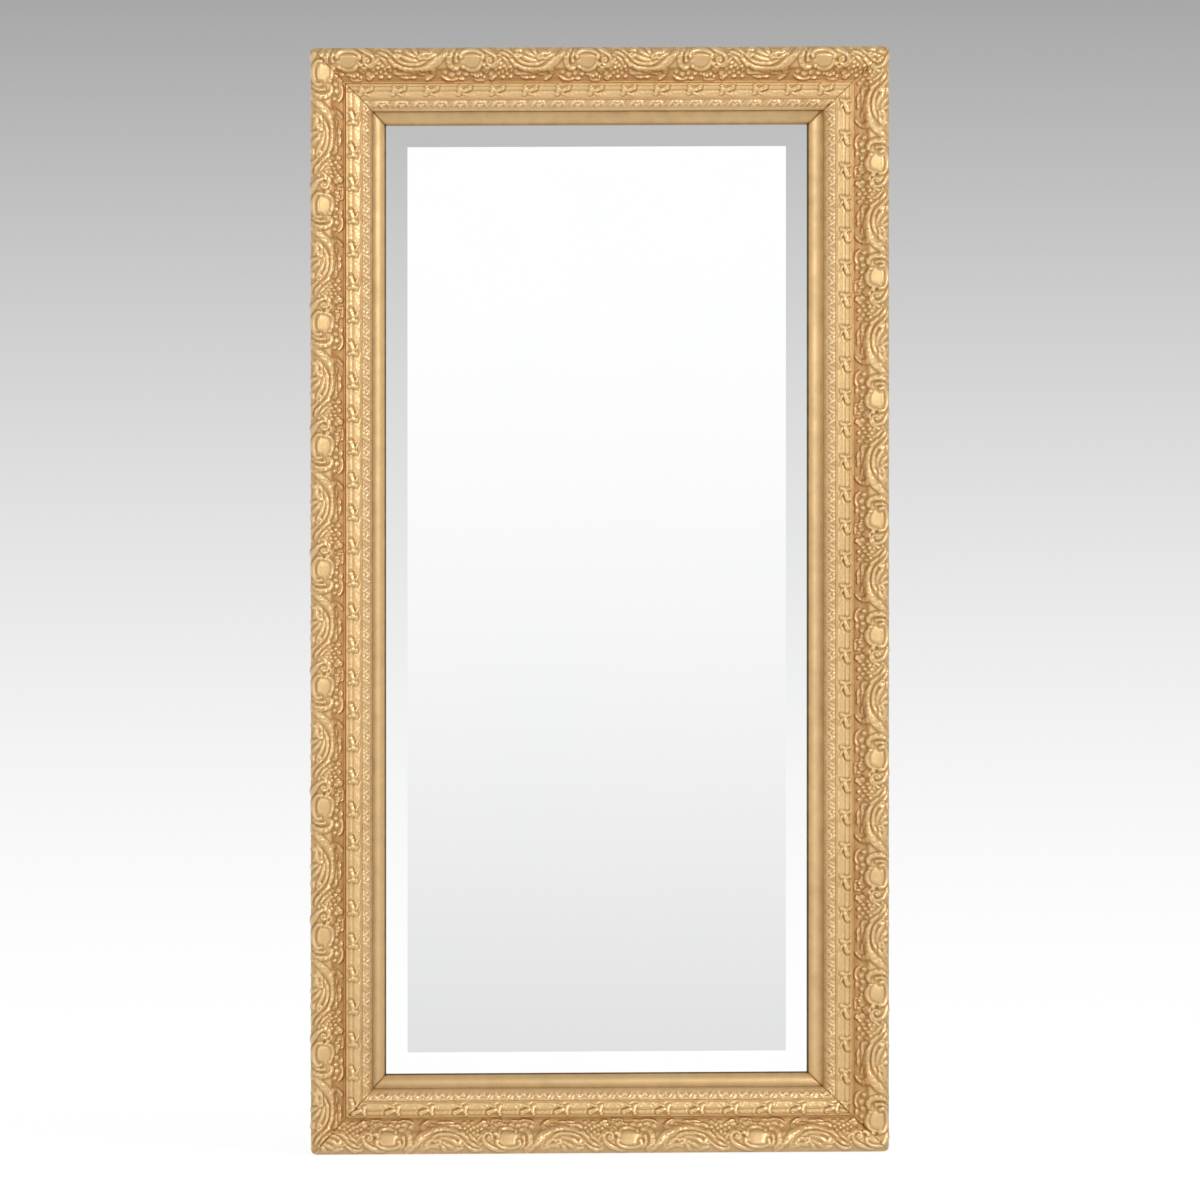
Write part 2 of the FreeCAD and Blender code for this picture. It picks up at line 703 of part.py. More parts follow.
def hanger_ring(sign):
    """D-shaped ring of round wire: bar in the strap's eye, two corners, two legs and a half-round bow."""
    wire = RING_WIRE / 2
    bow = RING_WIDTH / 2
    bar = bow - RING_CORNER
    leg_top = RING_CORNER + RING_LEG
    pieces = [
        Part.makeCylinder(wire, 2 * bar, Vector(-bar, 0, 0), Vector(1, 0, 0)),
        wire_bend(bow, -90, 180, Vector(0, 0, leg_top)),
        wire_bend(RING_CORNER, 90, 90, Vector(bar, 0, RING_CORNER)),
        wire_bend(RING_CORNER, 180, 90, Vector(-bar, 0, RING_CORNER)),
    ]
    for x in (-bow, bow):
        pieces.append(Part.makeCylinder(wire, RING_LEG, Vector(x, 0, RING_CORNER)))
    ring = pieces[0].multiFuse(pieces[1:]).removeSplitter()
    ring.rotate(Vector(0, 0, 0), Vector(1, 0, 0), ring_lean())
    ring.translate(Vector(hanger_x(sign), Y_BACK + eye_radius(), HANGER_HEIGHT))
    return ring


def wall_bumpers():
    """Round pads at the four corners of the back, which stand the frame off the wall."""
    pads = []
    for x_sign in (-1, 1):
        for z_sign in (-1, 1):
            pad = Part.makeCylinder(
                BUMPER_DIAMETER / 2, BUMPER_THICKNESS,
                Vector(
                    x_sign * (WIDTH / 2 - BUMPER_INSET), Y_BACK, z_sign * (HEIGHT / 2 - BUMPER_INSET)
                ),
                Vector(0, 1, 0),
            )
            rear = [e for e in pad.Edges if abs(e.CenterOfMass.y - Y_BACK - BUMPER_THICKNESS) < TOUCHING]
            pads.append(pad.makeFillet(BUMPER_EDGE, rear))
    return pads


def write(name, shape):
    """One sub-part's file. A list of solids is written as a group."""
    group = Part.makeCompound(shape) if isinstance(shape, list) else shape
    group.exportStep(os.path.join("parts", name + ".step"))


def main():
    """Makes every sub-part and writes it."""
    os.makedirs("parts", exist_ok=True)
    names = list(SIDES)
    splines = {side: mitre_spline(side) for side in names}
    brads = {side: slip_brads(side) for side in names}
    pivots = {side: [button_screw(side, u) for u in button_places(side)] for side in names}
    strap_screws = {"left": hanger_screws(-1), "right": hanger_screws(1)}

    for pair in (("top", "bottom"), ("right", "left")):
        length, half, _turn = SIDES[pair[0]]
        rail = plain_run(rail_corners(), length, half)
        slip = plain_run(slip_corners(), length, half)
        ribbon = ribbon_run(length, half)
        leaf = leaf_run(length, half)
        for side in pair:
            before = names[names.index(side) - 1]
            let_in = [splines[side], splines[before], *brads[side], *pivots[side]]
            let_in += strap_screws.get(side, [])
            write(f"rail_{side}", place(rail, side).cut(let_in))
            write(f"slip_{side}", place(slip, side).cut(brads[side]))
            write(f"ornament_run_{side}", ornament_run(side))
            write(f"ribbon_run_{side}", place(ribbon, side))
            write(f"leaf_run_{side}", place(leaf, side))

    write("mirror_plate", mirror_plate())
    write("glazing_blocks", glazing_blocks())
    write("backing_sheet", panel(V_BOARD, F_BACKING, F_PLATE))
    for i, board in enumerate(back_boards()):
        write(f"back_board_{i + 1}", board)
    write("mitre_splines", list(splines.values()))
    write("slip_brads", sum(brads.values(), []))
    for side in names:
        for i, u in enumerate(button_places(side)):
            write(f"turn_button_{side}_{i + 1}", turn_button(side, u))
    write("turn_button_screws", sum(pivots.values(), []))
    for side, sign in (("left", -1), ("right", 1)):
        write(f"hanger_strap_{side}", hanger_strap(sign).cut(strap_screws[side]))
        write(f"hanger_ring_{side}", hanger_ring(sign))
    write("hanger_screws", sum(strap_screws.values(), []))
    write("wall_bumpers", wall_bumpers())


main()
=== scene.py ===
"""Gilt wall mirror: pressed ornament, gilt slip, bevelled plate and boarded back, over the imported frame.

Lengths of the ornament are in millimetres until a mesh is made, and everything else is in metres.
A moulding's section has v, the distance inward from the frame's outer edge, and f, the height forward of
the frame's back. Along a side, s runs clockwise from the side's middle, as seen from the front.
"""

import math
from collections import namedtuple

import bpy
import numpy as np
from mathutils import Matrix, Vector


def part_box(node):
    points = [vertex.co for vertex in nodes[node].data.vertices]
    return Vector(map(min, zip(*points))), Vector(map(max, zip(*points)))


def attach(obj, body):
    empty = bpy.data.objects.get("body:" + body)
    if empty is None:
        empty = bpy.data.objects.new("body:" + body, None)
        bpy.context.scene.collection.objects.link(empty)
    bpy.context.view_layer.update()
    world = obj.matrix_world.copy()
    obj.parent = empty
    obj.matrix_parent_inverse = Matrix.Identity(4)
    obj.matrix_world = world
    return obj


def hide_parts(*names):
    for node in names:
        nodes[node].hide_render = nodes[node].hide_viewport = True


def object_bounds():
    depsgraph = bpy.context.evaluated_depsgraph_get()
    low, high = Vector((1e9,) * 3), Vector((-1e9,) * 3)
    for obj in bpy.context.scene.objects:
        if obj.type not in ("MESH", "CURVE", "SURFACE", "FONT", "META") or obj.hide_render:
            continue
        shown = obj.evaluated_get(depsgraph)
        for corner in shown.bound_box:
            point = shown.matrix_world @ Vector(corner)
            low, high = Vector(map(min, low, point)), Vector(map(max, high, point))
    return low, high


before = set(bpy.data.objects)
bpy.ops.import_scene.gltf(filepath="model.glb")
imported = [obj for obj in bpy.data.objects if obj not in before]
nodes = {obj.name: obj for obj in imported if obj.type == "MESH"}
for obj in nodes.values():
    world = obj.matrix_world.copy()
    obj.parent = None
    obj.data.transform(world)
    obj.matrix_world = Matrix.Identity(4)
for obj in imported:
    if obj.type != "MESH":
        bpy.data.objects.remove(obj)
cad_low, cad_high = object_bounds()

MM = 0.001

# Sizes read from the frame, in millimetres
WIDTH = (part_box("ornament_run_top")[1].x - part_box("ornament_run_top")[0].x) / MM
HEIGHT = (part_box("ornament_run_right")[1].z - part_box("ornament_run_right")[0].z) / MM
BACK_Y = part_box("rail_top")[1].y / MM
OUTER_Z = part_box("ornament_run_top")[1].z / MM
V_ORNAMENT = OUTER_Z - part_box("ornament_run_top")[0].z / MM
V_RIBBON = OUTER_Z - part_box("ribbon_run_top")[0].z / MM
V_LIP = OUTER_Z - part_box("leaf_run_top")[0].z / MM
V_SIGHT = OUTER_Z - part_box("slip_top")[0].z / MM
F_PLATE = BACK_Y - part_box("slip_top")[1].y / MM
F_SLIP = BACK_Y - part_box("slip_top")[0].y / MM
F_FILLET = BACK_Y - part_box("ribbon_run_top")[0].y / MM
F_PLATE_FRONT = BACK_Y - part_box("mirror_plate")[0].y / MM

# Each side's length, its outer edge's distance from the centre, and its quarter turns about Y
SIDES = {
    "top": (WIDTH, HEIGHT / 2, 0),
    "right": (HEIGHT, WIDTH / 2, 1),
    "bottom": (WIDTH, HEIGHT / 2, 2),
    "left": (HEIGHT, WIDTH / 2, 3),
}

# Repeats of the three bands, and the cartouches' places along each side, where pressed lengths vary a little
ORNAMENT_REPEAT = 153.0
CARTOUCHES = {
    "top": (-323, -165, -18, 126, 283),
    "right": (-554, -410, -254, -102, 44, 201, 350, 498, 660),
    "bottom": (-201, -37, 117, 270),
    "left": (-573, -425, -260, -108, 40, 196, 352, 500, 669),
}
RIBBON_REPEAT = 41.4
LEAF_REPEAT = 25.4

# A tie's place on each side with the ties' spacing there, and a leaf's place with the spacing of two leaves
TIES = {"top": (30.5, 41.85), "right": (23.7, 41.0), "bottom": (-2.5, 43.1), "left": (21.0, 41.7)}
LEAVES = {"top": (17.2, 24.96), "right": (13.6, 25.08), "bottom": (12.4, 25.8), "left": (0.9, 25.64)}

# How far inward each side's outer band is laid: in full near the outer edge, fading to none at the hollow
LAID_IN = {"top": -3.5, "right": -3.8, "bottom": 0.8, "left": -4.2}
LAID_TO = 43.0
LAID_OVER = 17.0

# Painted shade on each side's slip, set by how light falls there: strength and reach of the lip's painted
# shadow in the quirk, then strength and width of the painted shade on the sight edge
SLIP_PAINTED_SHADE = {
    "top": (0.38, 11.0, 0.45, 3.8),
    "right": (0.1, 6.0, 1.0, 3.0),
    "bottom": (0.32, 9.0, 1.0, 2.4),
    "left": (0.36, 8.5, 1.0, 3.0),
}

# Strength of the painted shade, with a little darker wash, on each side's fillet, of the painted shadow at
# the fillet's foot, and over the first rod beside it
FILLET_PAINTED_SHADE = {
    "top": (0.15, 0.6, 0.0),
    "right": (0.35, 0.8, 0.0),
    "bottom": (0.55, 0.9, 0.6),
    "left": (0.05, 0.6, 0.0),
}

# Strength of the painted shade on each side's bead at the lip, in the outer band's hollow, partly a darker
# wash, and in the crease of the inner seam
LIP_PAINTED_SHADE = {"top": 0.0, "right": 1.0, "bottom": 0.5, "left": 1.0}
HOLLOW_PAINTED_SHADE = 0.64
SEAM_PAINTED_SHADE = 0.8

# Where the painted shade of the bands starts or ends, and over how many millimetres it fades
HOLLOW_START = 13.5
HOLLOW_FADE = 8.0
HOLLOW_FOOT = 2.5
HOLLOW_FOOT_FADE = 2.0
FILLET_FADE = 0.8
FILLET_FOOT = 4.4
FILLET_FOOT_FADE = 1.5
ROD_END = 12.0
ROD_FADE = 5.0
SEAM_FADE = 1.2
BEAD_START = 3.4
BEAD_FADE = 0.8

# Fineness of the relief: the tile's cells, the steps along a path, and the mesh's columns
TILE_STEP = 0.35
PATH_STEP = 0.45
ORNAMENT_COLUMN = 1.1
BAND_COLUMN = 0.9
SLIP_COLUMN = 4.0

# The relief's softness and uneven surface, and the blur that a place's height is set against
ORNAMENT_SOFTNESS = 0.5
BAND_SOFTNESS = 0.45
LEVEL_BLUR = 1.8
ROUGH_GRAIN = 0.9

# Heights of the three reliefs that lie level with their sections, and how relief fades at a band's edges
ORNAMENT_GROUND = 1.6
RIBBON_GROUND = 0.7
LEAF_GROUND = 0.8
START_EASE = 1.5
START_SLACK = 0.01
END_EASE = 0.6
END_SLACK = 0.2

# Where the outer band's relief fades out, and the middles and half-widths of the rods and of the lip's bead
ORNAMENT_INNER_EDGE = 0.8
ORNAMENT_OUTER_EDGE = -1.5
ORNAMENT_FADE = 3.0
RODS = ((6.4, 2.9), (14.7, 4.4))
LIP_BEAD = (12.9, 1.5, 0.45)

# Heights against the level at which gold takes no painted shade from its band, is fully darkened as painted
# shade in low places, and is fully lit as a painted highlight on high places
UNSHADED_RISE = 0.5
FULL_SHADE_DEPTH = 1.25
FULL_HIGHLIGHT_RISE = 0.95

# Mitres and outer corners
MITRE_GAP = 0.06
MITRE_LINE = 1.6
MITRE_DIRT_OVER = 8.0
MITRE_DIRT_LEAST = 0.3
MITRE_DIRT_ON_SLIP = 0.05
CORNER_RADIUS = 8.0

# A place along any side that is well past its corners
PAST_CORNERS = 800.0


# Curves


def smooth_curve(points, per_span=10):
    """Catmull-Rom curve through the points: in each span a cubic whose slope at a point is half the
    difference of that point's two neighbours."""
    p = np.asarray(points, float)
    p = np.vstack([2 * p[0] - p[1], p, 2 * p[-1] - p[-2]])
    t = np.linspace(0, 1, per_span, endpoint=False)[None, :, None]
    a, b, c, d = (p[i : len(p) - 3 + i, None, :] for i in range(4))
    spans = 0.5 * (
        2 * b + (c - a) * t + (2 * a - 5 * b + 4 * c - d) * t**2 + (3 * b - a - 3 * c + d) * t**3
    )
    return np.vstack([spans.reshape(-1, p.shape[1]), p[-2:-1]])


def spiral(centre, radius, start, turns, inner=0.25):
    """Scroll that winds inward: the radius falls evenly from its full size to a fraction of it, over so many
    turns. Angles are in degrees, from +s towards +v, and turns below zero wind the other way."""
    angle = math.radians(start) + np.linspace(0, 2 * math.pi * turns, int(14 * abs(turns)) + 2)
    r = radius * np.linspace(1, inner, len(angle))
    return np.stack([centre[0] + r * np.cos(angle), centre[1] + r * np.sin(angle)], 1)


def arc(centre, radii, start, end, count=24):
    """Stretch of an ellipse between two angles in degrees, from +s towards +v."""
    angle = np.radians(np.linspace(start, end, count))
    return np.stack([centre[0] + radii[0] * np.cos(angle), centre[1] + radii[1] * np.sin(angle)], 1)


# Relief tiles


class Tile:
    """Height map, in millimetres, that repeats along s. Forms are added by taking the higher of the two."""

    def __init__(self, period, depth):
        self.period = period
        self.depth = depth
        self.cells = (int(round(period / TILE_STEP)), int(round(depth / TILE_STEP)) + 1)
        s = np.arange(self.cells[0]) * period / self.cells[0]
        v = np.linspace(0, depth, self.cells[1])
        self.s, self.v = np.meshgrid(s, v, indexing="ij")
        self.height = np.zeros(self.cells)

    def around(self, s0):
        """Cells' s values, counted in the period that is centred on s0."""
        return (self.s - s0 + self.period / 2) % self.period - self.period / 2 + s0

    def nearest(self, path, reach):
        """Near a path: the cells within reach of its box, their distance from it, and how far along it they
        are. The path is first divided into even short steps."""
        run = np.concatenate([[0], np.cumsum(np.hypot(*np.diff(path, axis=0).T))])
        steps = np.linspace(0, run[-1], int(run[-1] / PATH_STEP) + 2)
        path = np.stack([np.interp(steps, run, path[:, 0]), np.interp(steps, run, path[:, 1])], 1)
        middle = (path[:, 0].min() + path[:, 0].max()) / 2
        s = self.around(middle)
        low = path.min(0) - reach
        high = path.max(0) + reach
        near = (s > low[0]) & (s < high[0]) & (self.v > low[1]) & (self.v < high[1])
        offset_s = s[near][:, None] - path[None, :, 0]
        offset_v = self.v[near][:, None] - path[None, :, 1]
        square = offset_s**2 + offset_v**2
        index = square.argmin(1)
        along = index / max(len(path) - 1, 1)
        return near, np.sqrt(square.min(1)), along

    def ridge(self, path, width, rise, groove=0.0):
        """Broad flat-topped band along a path: rise times (1 - (distance / half-width) cubed) to the power
        0.55. Width and rise may be lists, spread evenly along the path. A groove is a share cut out of its
        middle."""
        widths = np.atleast_1d(width).astype(float)
        rises = np.atleast_1d(rise).astype(float)
        near, distance, along = self.nearest(np.asarray(path, float), widths.max())
        w = np.interp(along, np.linspace(0, 1, len(widths)), widths)
        h = np.interp(along, np.linspace(0, 1, len(rises)), rises)
        ratio = np.clip(distance / w, 0, 1)
        body = h * (1 - ratio**3) ** 0.55
        body *= 1 - groove * np.exp(-((distance / (0.3 * w)) ** 2))
        self.height[near] = np.maximum(self.height[near], body)

    def carve(self, path, width, depth):
        """Groove along a path: depth times a bell curve of the distance is taken away."""
        near, distance, _along = self.nearest(np.asarray(path, float), 3 * width)
        self.height[near] -= depth * np.exp(-((distance / width) ** 2))

    def stroke(self, points, width, rise, groove=0.0):
        """Band along a smooth curve through the points."""
        self.ridge(smooth_curve(points), width, rise, groove)

    def groove(self, points, width, depth):
        """Groove along a smooth curve through the points."""
        self.carve(smooth_curve(points), width, depth)

    def dome(self, centre, radii, rise, power=2.0, edge=1.0):
        """Oval boss: rise times (1 - q) to half of edge, where q is the sum of both (offset / radius) to a
        power."""
        s = self.around(centre[0]) - centre[0]
        v = self.v - centre[1]
        q = np.abs(s / radii[0]) ** power + np.abs(v / radii[1]) ** power
        self.height = np.maximum(self.height, rise * np.clip(1 - q, 0, 1) ** (0.5 * edge))

    def roughen(self, amount):
        """Uneven hand-worked surface: random heights, blurred over a grain, are added in proportion to the
        form's own height."""
        plain = self.height
        self.height = np.random.default_rng(5).normal(size=self.cells)
        rough = self.blurred(ROUGH_GRAIN)
        self.height = plain + amount * rough / rough.std() * np.clip(plain / 2.0, 0.2, 1.0)

    def blurred(self, spread):
        """Bell-curve blur of the height, periodic along s and held at the edges across it."""
        reach = int(math.ceil(3 * spread / TILE_STEP))
        taps = np.arange(-reach, reach + 1)
        bell = np.exp(-((taps * TILE_STEP / spread) ** 2) / 2)
        bell /= bell.sum()
        along = sum(k * np.roll(self.height, t, 0) for t, k in zip(taps, bell))
        padded = np.pad(along, ((0, 0), (reach, reach)), mode="edge")
        count = self.cells[1]
        return sum(k * padded[:, reach + t : reach + t + count] for t, k in zip(taps, bell))

    def sample(self, field, s, v):
        """Field read between its cells: straight-line interpolation both ways."""
        x = (s % self.period) / self.period * self.cells[0]
        y = np.clip(v / self.depth, 0, 1) * (self.cells[1] - 1)
        x0 = np.floor(x).astype(int)
        y0 = np.minimum(np.floor(y).astype(int), self.cells[1] - 2)
        fx = x - x0
        fy = y - y0
        x0 %= self.cells[0]
        x1 = (x0 + 1) % self.cells[0]
        low = field[x0, y0] * (1 - fy) + field[x0, y0 + 1] * fy
        high = field[x1, y0] * (1 - fy) + field[x1, y0 + 1] * fy
        return low * (1 - fx) + high * fx


def cartouche(tile):
    """Shield with a smooth field and a raised rim, at s = 0, under a broad arch with round drop ends."""
    tile.dome((0.4, 20.4), (12.8, 12.0), 2.0, 3.0, 0.6)
    rim = [(-7.0, 30.0), (0.0, 32.2), (7.4, 31.4), (12.4, 27.4), (14.2, 21.4), (13.4, 15.0)]
    tile.stroke(rim, [1.6, 2.2, 2.2, 2.2, 2.0, 1.6], [2.8, 3.2, 3.2, 3.2, 3.0, 2.8])
    arch = [
        (-12.8, 15.8), (-13.6, 11.6), (-10.6, 8.2), (-5.4, 6.6), (0.0, 6.1), (6.0, 6.5), (11.6, 8.6),
        (15.2, 12.4), (14.8, 16.6),
    ]
    tile.stroke(arch, [2.8, 2.4, 2.3, 2.4, 2.8], [3.0, 2.8, 2.8, 2.8, 3.0])
    tile.dome((-12.8, 15.8), (3.0, 3.1), 3.5)
    tile.dome((15.2, 16.4), (3.0, 3.0), 3.5)
    tile.carve(arc((-12.8, 15.6), (3.8, 4.1), -30, 190), 0.85, 1.5)
    tile.carve(arc((15.2, 16.2), (3.9, 4.1), -10, 130), 0.85, 1.4)
    tile.groove([(-9.4, 13.6), (-6.2, 10.2), (0.0, 9.2), (6.4, 10.0), (10.6, 13.0)], 0.9, 1.4)
    tile.groove([(-5.6, 27.6), (0.0, 29.2), (6.2, 28.6), (9.8, 25.6), (11.4, 21.0)], 0.8, 0.9)
    tile.dome((-9.4, 28.6), (2.7, 2.6), 3.2)
    tile.carve(arc((-9.4, 28.6), (3.4, 3.3), 0, 360), 0.7, 1.0)
    tile.dome((17.2, 25.4), (2.9, 3.4), 3.4)
    tile.carve(arc((17.2, 25.4), (3.7, 4.2), 80, 330), 0.85, 1.3)


def scroll_band(tile):
    """Band that springs from the arch's right shoulder and winds up in a volute beside the cartouche."""
    band = [
        (6.0, 2.4), (13.6, 3.6), (21.5, 7.0), (28.4, 11.4), (32.0, 17.4), (31.0, 23.6), (26.4, 26.0),
        (21.8, 23.4), (21.9, 18.6), (25.2, 16.8), (27.6, 19.4),
    ]
    wide = [1.6, 2.6, 3.4, 3.4, 2.8, 2.2, 1.9, 1.7]
    tile.stroke(band, wide, [2.2, 2.9, 3.4, 3.4, 3.2, 3.0, 2.8, 2.8])
    tile.dome((25.3, 21.0), (2.7, 2.7), 3.5)
    tile.carve(spiral((26.0, 20.4), 4.3, -60, 1.25, 0.45), 0.75, 1.3)
    tile.groove([(11.0, 6.2), (18.0, 9.8), (24.0, 14.0)], 0.9, 1.4)


def ruffle(tile):
    """Scalloped crescent and a hook left of the cartouche, both open towards it, and a curved leaf below."""
    hook = [(-14.6, 6.4), (-18.2, 10.0), (-19.2, 15.6), (-18.4, 20.0)]
    tile.stroke(hook, [1.7, 2.3, 2.4, 2.4], [2.4, 2.8, 2.9, 2.9])
    tile.dome((-18.0, 20.8), (3.2, 3.0), 3.6)
    beside = [(-15.0, 10.6), (-16.2, 14.6), (-14.6, 19.4), (-14.4, 23.6), (-18.4, 25.4)]
    tile.groove(beside, 0.9, 1.6)
    outer = [(-20.5, 5.5), (-25.0, 10.0), (-27.0, 18.0), (-25.8, 25.6), (-21.4, 30.0), (-15.4, 30.8)]
    tile.stroke(outer, [2.0, 3.4, 4.0, 3.9, 3.2, 2.0], [2.6, 3.0, 3.3, 3.3, 3.0, 2.6])
    tile.groove([(-21.0, 8.6), (-22.4, 14.0), (-22.6, 20.0), (-21.0, 25.4)], 0.85, 1.4)
    for s, v in ((-29.6, 13.4), (-30.4, 19.4), (-29.0, 25.2)):
        tile.carve([(s - 0.8, v + 0.6), (s + 3.4, v - 0.8)], 0.7, 0.9)
    around = [(-26.0, 6.6), (-30.6, 13.0), (-32.0, 20.0), (-30.2, 28.4), (-25.0, 33.4), (-17.0, 34.0)]
    tile.groove(around, 0.9, 1.5)
    below = [(-33.4, 38.4), (-28.0, 42.0), (-21.6, 43.2), (-16.0, 41.2)]
    tile.stroke(below, [1.4, 2.4, 2.4, 1.5], [2.0, 2.6, 2.6, 2.1], 0.12)
    for s, v, wide, tall in ((-13.8, 35.8, 3.6, 2.6), (-22.0, 37.4, 4.2, 2.5), (-30.6, 35.2, 3.2, 2.3)):
        tile.dome((s, v), (wide, tall), 2.8)


def volute_leaves(tile):
    """Short leaves and berries beyond the volute, a flower under it, and buds below the cartouche."""
    for leaf, wide in (
        ([(25.6, 28.6), (32.0, 26.4), (38.8, 18.6)], [1.4, 2.7, 1.3]),
        ([(35.4, 4.0), (42.4, 3.4), (50.0, 6.8), (55.6, 12.0)], [1.7, 2.4, 2.2, 1.3]),
        ([(39.0, 8.2), (45.8, 11.4), (52.0, 17.0)], [1.7, 2.9, 1.4]),
        ([(41.0, 15.6), (46.2, 19.8), (49.8, 25.0)], [1.6, 2.7, 1.3]),
        ([(52.2, 19.4), (56.8, 23.8), (59.6, 29.4)], [1.5, 2.5, 1.3]),
    ):
        tile.stroke(leaf, wide, [2.4, 3.1, 2.8, 2.2], 0.16)
    for petal in range(5):
        angle = math.radians(72 * petal + 20)
        tile.dome((21.2 + 3.3 * math.cos(angle), 31.6 + 2.7 * math.sin(angle)), (2.5, 2.1), 2.8)
    tile.dome((21.2, 31.6), (1.6, 1.4), 3.3)
    for s, v, wide, tall in (
        (36.4, 12.6, 2.2, 2.0), (39.6, 24.2, 2.5, 2.0), (44.0, 27.6, 2.3, 1.8), (33.6, 32.0, 2.6, 1.9),
        (39.0, 30.0, 2.4, 1.9), (47.6, 31.4, 2.2, 1.8), (52.2, 28.8, 2.4, 1.9), (54.8, 33.0, 2.2, 1.8),
        (43.2, 34.0, 2.6, 1.8), (49.4, 36.0, 2.2, 1.6), (38.2, 36.0, 2.3, 1.8), (60.6, 33.8, 2.4, 1.8),
        (28.2, 36.6, 3.6, 2.5), (15.2, 37.2, 2.0, 1.8), (10.8, 38.8, 2.0, 1.7), (6.8, 37.6, 1.9, 1.7),
        (2.8, 36.8, 1.9, 1.7), (-4.2, 36.8, 3.4, 1.9), (19.4, 39.8, 2.0, 1.7), (34.4, 38.6, 2.0, 1.6),
        (44.4, 39.4, 3.0, 1.7), (54.4, 39.2, 2.6, 1.7),
    ):
        tile.dome((s, v), (wide, tall), 2.6)
    stem = [(7.4, 40.2), (8.4, 42.6), (13.8, 43.0), (20.0, 42.6)]
    tile.stroke(stem, 1.4, [2.0, 2.4, 2.4, 2.0])
    tile.ridge(spiral((30.0, 40.8), 2.7, 180, 1.1, 0.3), 1.3, [2.3, 2.7])
    tile.dome((-9.4, 41.2), (3.8, 1.7), 2.2)


def half_moon(tile):
    """Half-moon before the cartouche: bold leaves in a sunk field, cut off by a deep groove at its foot."""
    tile.dome((-69.0, 6.0), (30.0, 20.0), 0.9, 2.4, 0.5)
    for leaf, wide in (
        (
            [(-93.0, 19.0), (-84.0, 23.2), (-74.0, 25.2), (-64.0, 24.4), (-55.0, 20.8)],
            [1.9, 2.7, 2.9, 2.3, 1.1],
        ),
        ([(-88.0, 11.8), (-81.6, 16.4), (-74.0, 19.6), (-66.0, 20.2)], [2.2, 3.2, 2.9, 1.2]),
        ([(-81.6, 6.4), (-75.6, 10.8), (-69.4, 15.2)], [2.2, 3.3, 1.5]),
        ([(-72.4, 3.0), (-69.0, 7.4), (-66.6, 12.0)], [2.4, 3.1, 1.5]),
        ([(-56.6, 17.6), (-50.8, 15.4), (-45.2, 10.2)], [2.0, 2.9, 1.3]),
        ([(-62.6, 8.2), (-55.4, 10.0), (-48.6, 7.8), (-43.0, 3.6)], [2.2, 3.2, 2.8, 1.4]),
        ([(-93.0, 7.0), (-87.4, 5.4), (-82.4, 2.6)], [1.8, 2.8, 1.7]),
    ):
        tile.stroke(leaf, wide, [2.6, 3.5, 3.4, 2.8, 2.0], 0.12)
    tile.ridge(spiral((-93.0, 14.0), 4.0, 60, -1.2, 0.35), [2.0, 1.8], [3.0, 3.6])
    tile.carve(spiral((-93.0, 14.0), 2.5, 60, -1.1, 0.4), 0.75, 1.2)
    tile.ridge(spiral((-61.4, 15.0), 3.9, 130, 1.2, 0.35), [2.0, 1.8], [3.0, 3.6])
    tile.carve(spiral((-61.4, 15.0), 2.5, 130, 1.1, 0.4), 0.75, 1.2)
    groove = [
        (-97.0, 17.0), (-91.0, 23.0), (-81.5, 27.0), (-68.5, 28.6), (-56.0, 26.0), (-45.0, 19.0),
        (-35.6, 11.4), (-28.0, 5.6),
    ]
    tile.groove(groove, 1.3, 2.4)


def rim_and_sweep(tile):
    """Rounded rim under the half-moon, which widens and sweeps to the outer edge as a broad smooth leaf."""
    rim = [
        (-99.0, 19.6), (-91.4, 26.4), (-81.0, 30.6), (-68.0, 32.4), (-56.0, 30.4), (-46.4, 25.0),
        (-38.0, 17.4), (-30.6, 9.6), (-23.6, 2.0),
    ]
    wide = [1.7, 2.5, 2.9, 3.1, 3.8, 5.2, 5.8, 5.2, 4.0]
    tile.stroke(rim, wide, [2.4, 2.8, 3.0, 3.1, 3.3, 3.4, 3.3, 3.0, 2.6])
    tile.groove([(-43.4, 33.0), (-38.6, 27.4), (-34.4, 20.6), (-31.0, 12.6)], 0.9, 0.8)
    tile.ridge(spiral((-46.0, 32.6), 3.3, 200, 1.15, 0.35), 1.6, [2.6, 3.1])
    tail = [(-42.4, 35.0), (-46.8, 38.6), (-52.4, 42.2)]
    tile.stroke(tail, [1.6, 2.4, 1.4], [2.2, 2.7, 2.1])


def hollow_sprays(tile):
    """Two rows of plump leaf strokes that lie along the hollow under the rim."""
    for row, first, count, wide in ((36.2, -90.0, 4, 4.2), (39.8, -80.0, 2, 4.0)):
        for k in range(count):
            lean = (k % 3 - 1) * 0.5
            s = first + 9.8 * k
            stroke = [(s - wide, row + lean), (s, row - 0.3), (s + wide, row - lean)]
            tile.stroke(stroke, [1.1, 1.9, 1.2], [1.6, 2.2, 1.7])


def ornament_tile():
    """Outer band: cartouche, scrolls, leaves and half-moon, over one repeat, faded along its two edges."""
    tile = Tile(ORNAMENT_REPEAT, V_ORNAMENT)
    half_moon(tile)
    rim_and_sweep(tile)
    ruffle(tile)
    hollow_sprays(tile)
    volute_leaves(tile)
    scroll_band(tile)
    tile.roughen(0.32)
    cartouche(tile)
    to_inner = np.clip((V_ORNAMENT - ORNAMENT_INNER_EDGE - tile.v) / ORNAMENT_FADE, 0, 1)
    to_outer = np.clip((tile.v - ORNAMENT_OUTER_EDGE) / ORNAMENT_FADE, 0, 1)
    tile.height *= to_inner * to_outer
    return tile


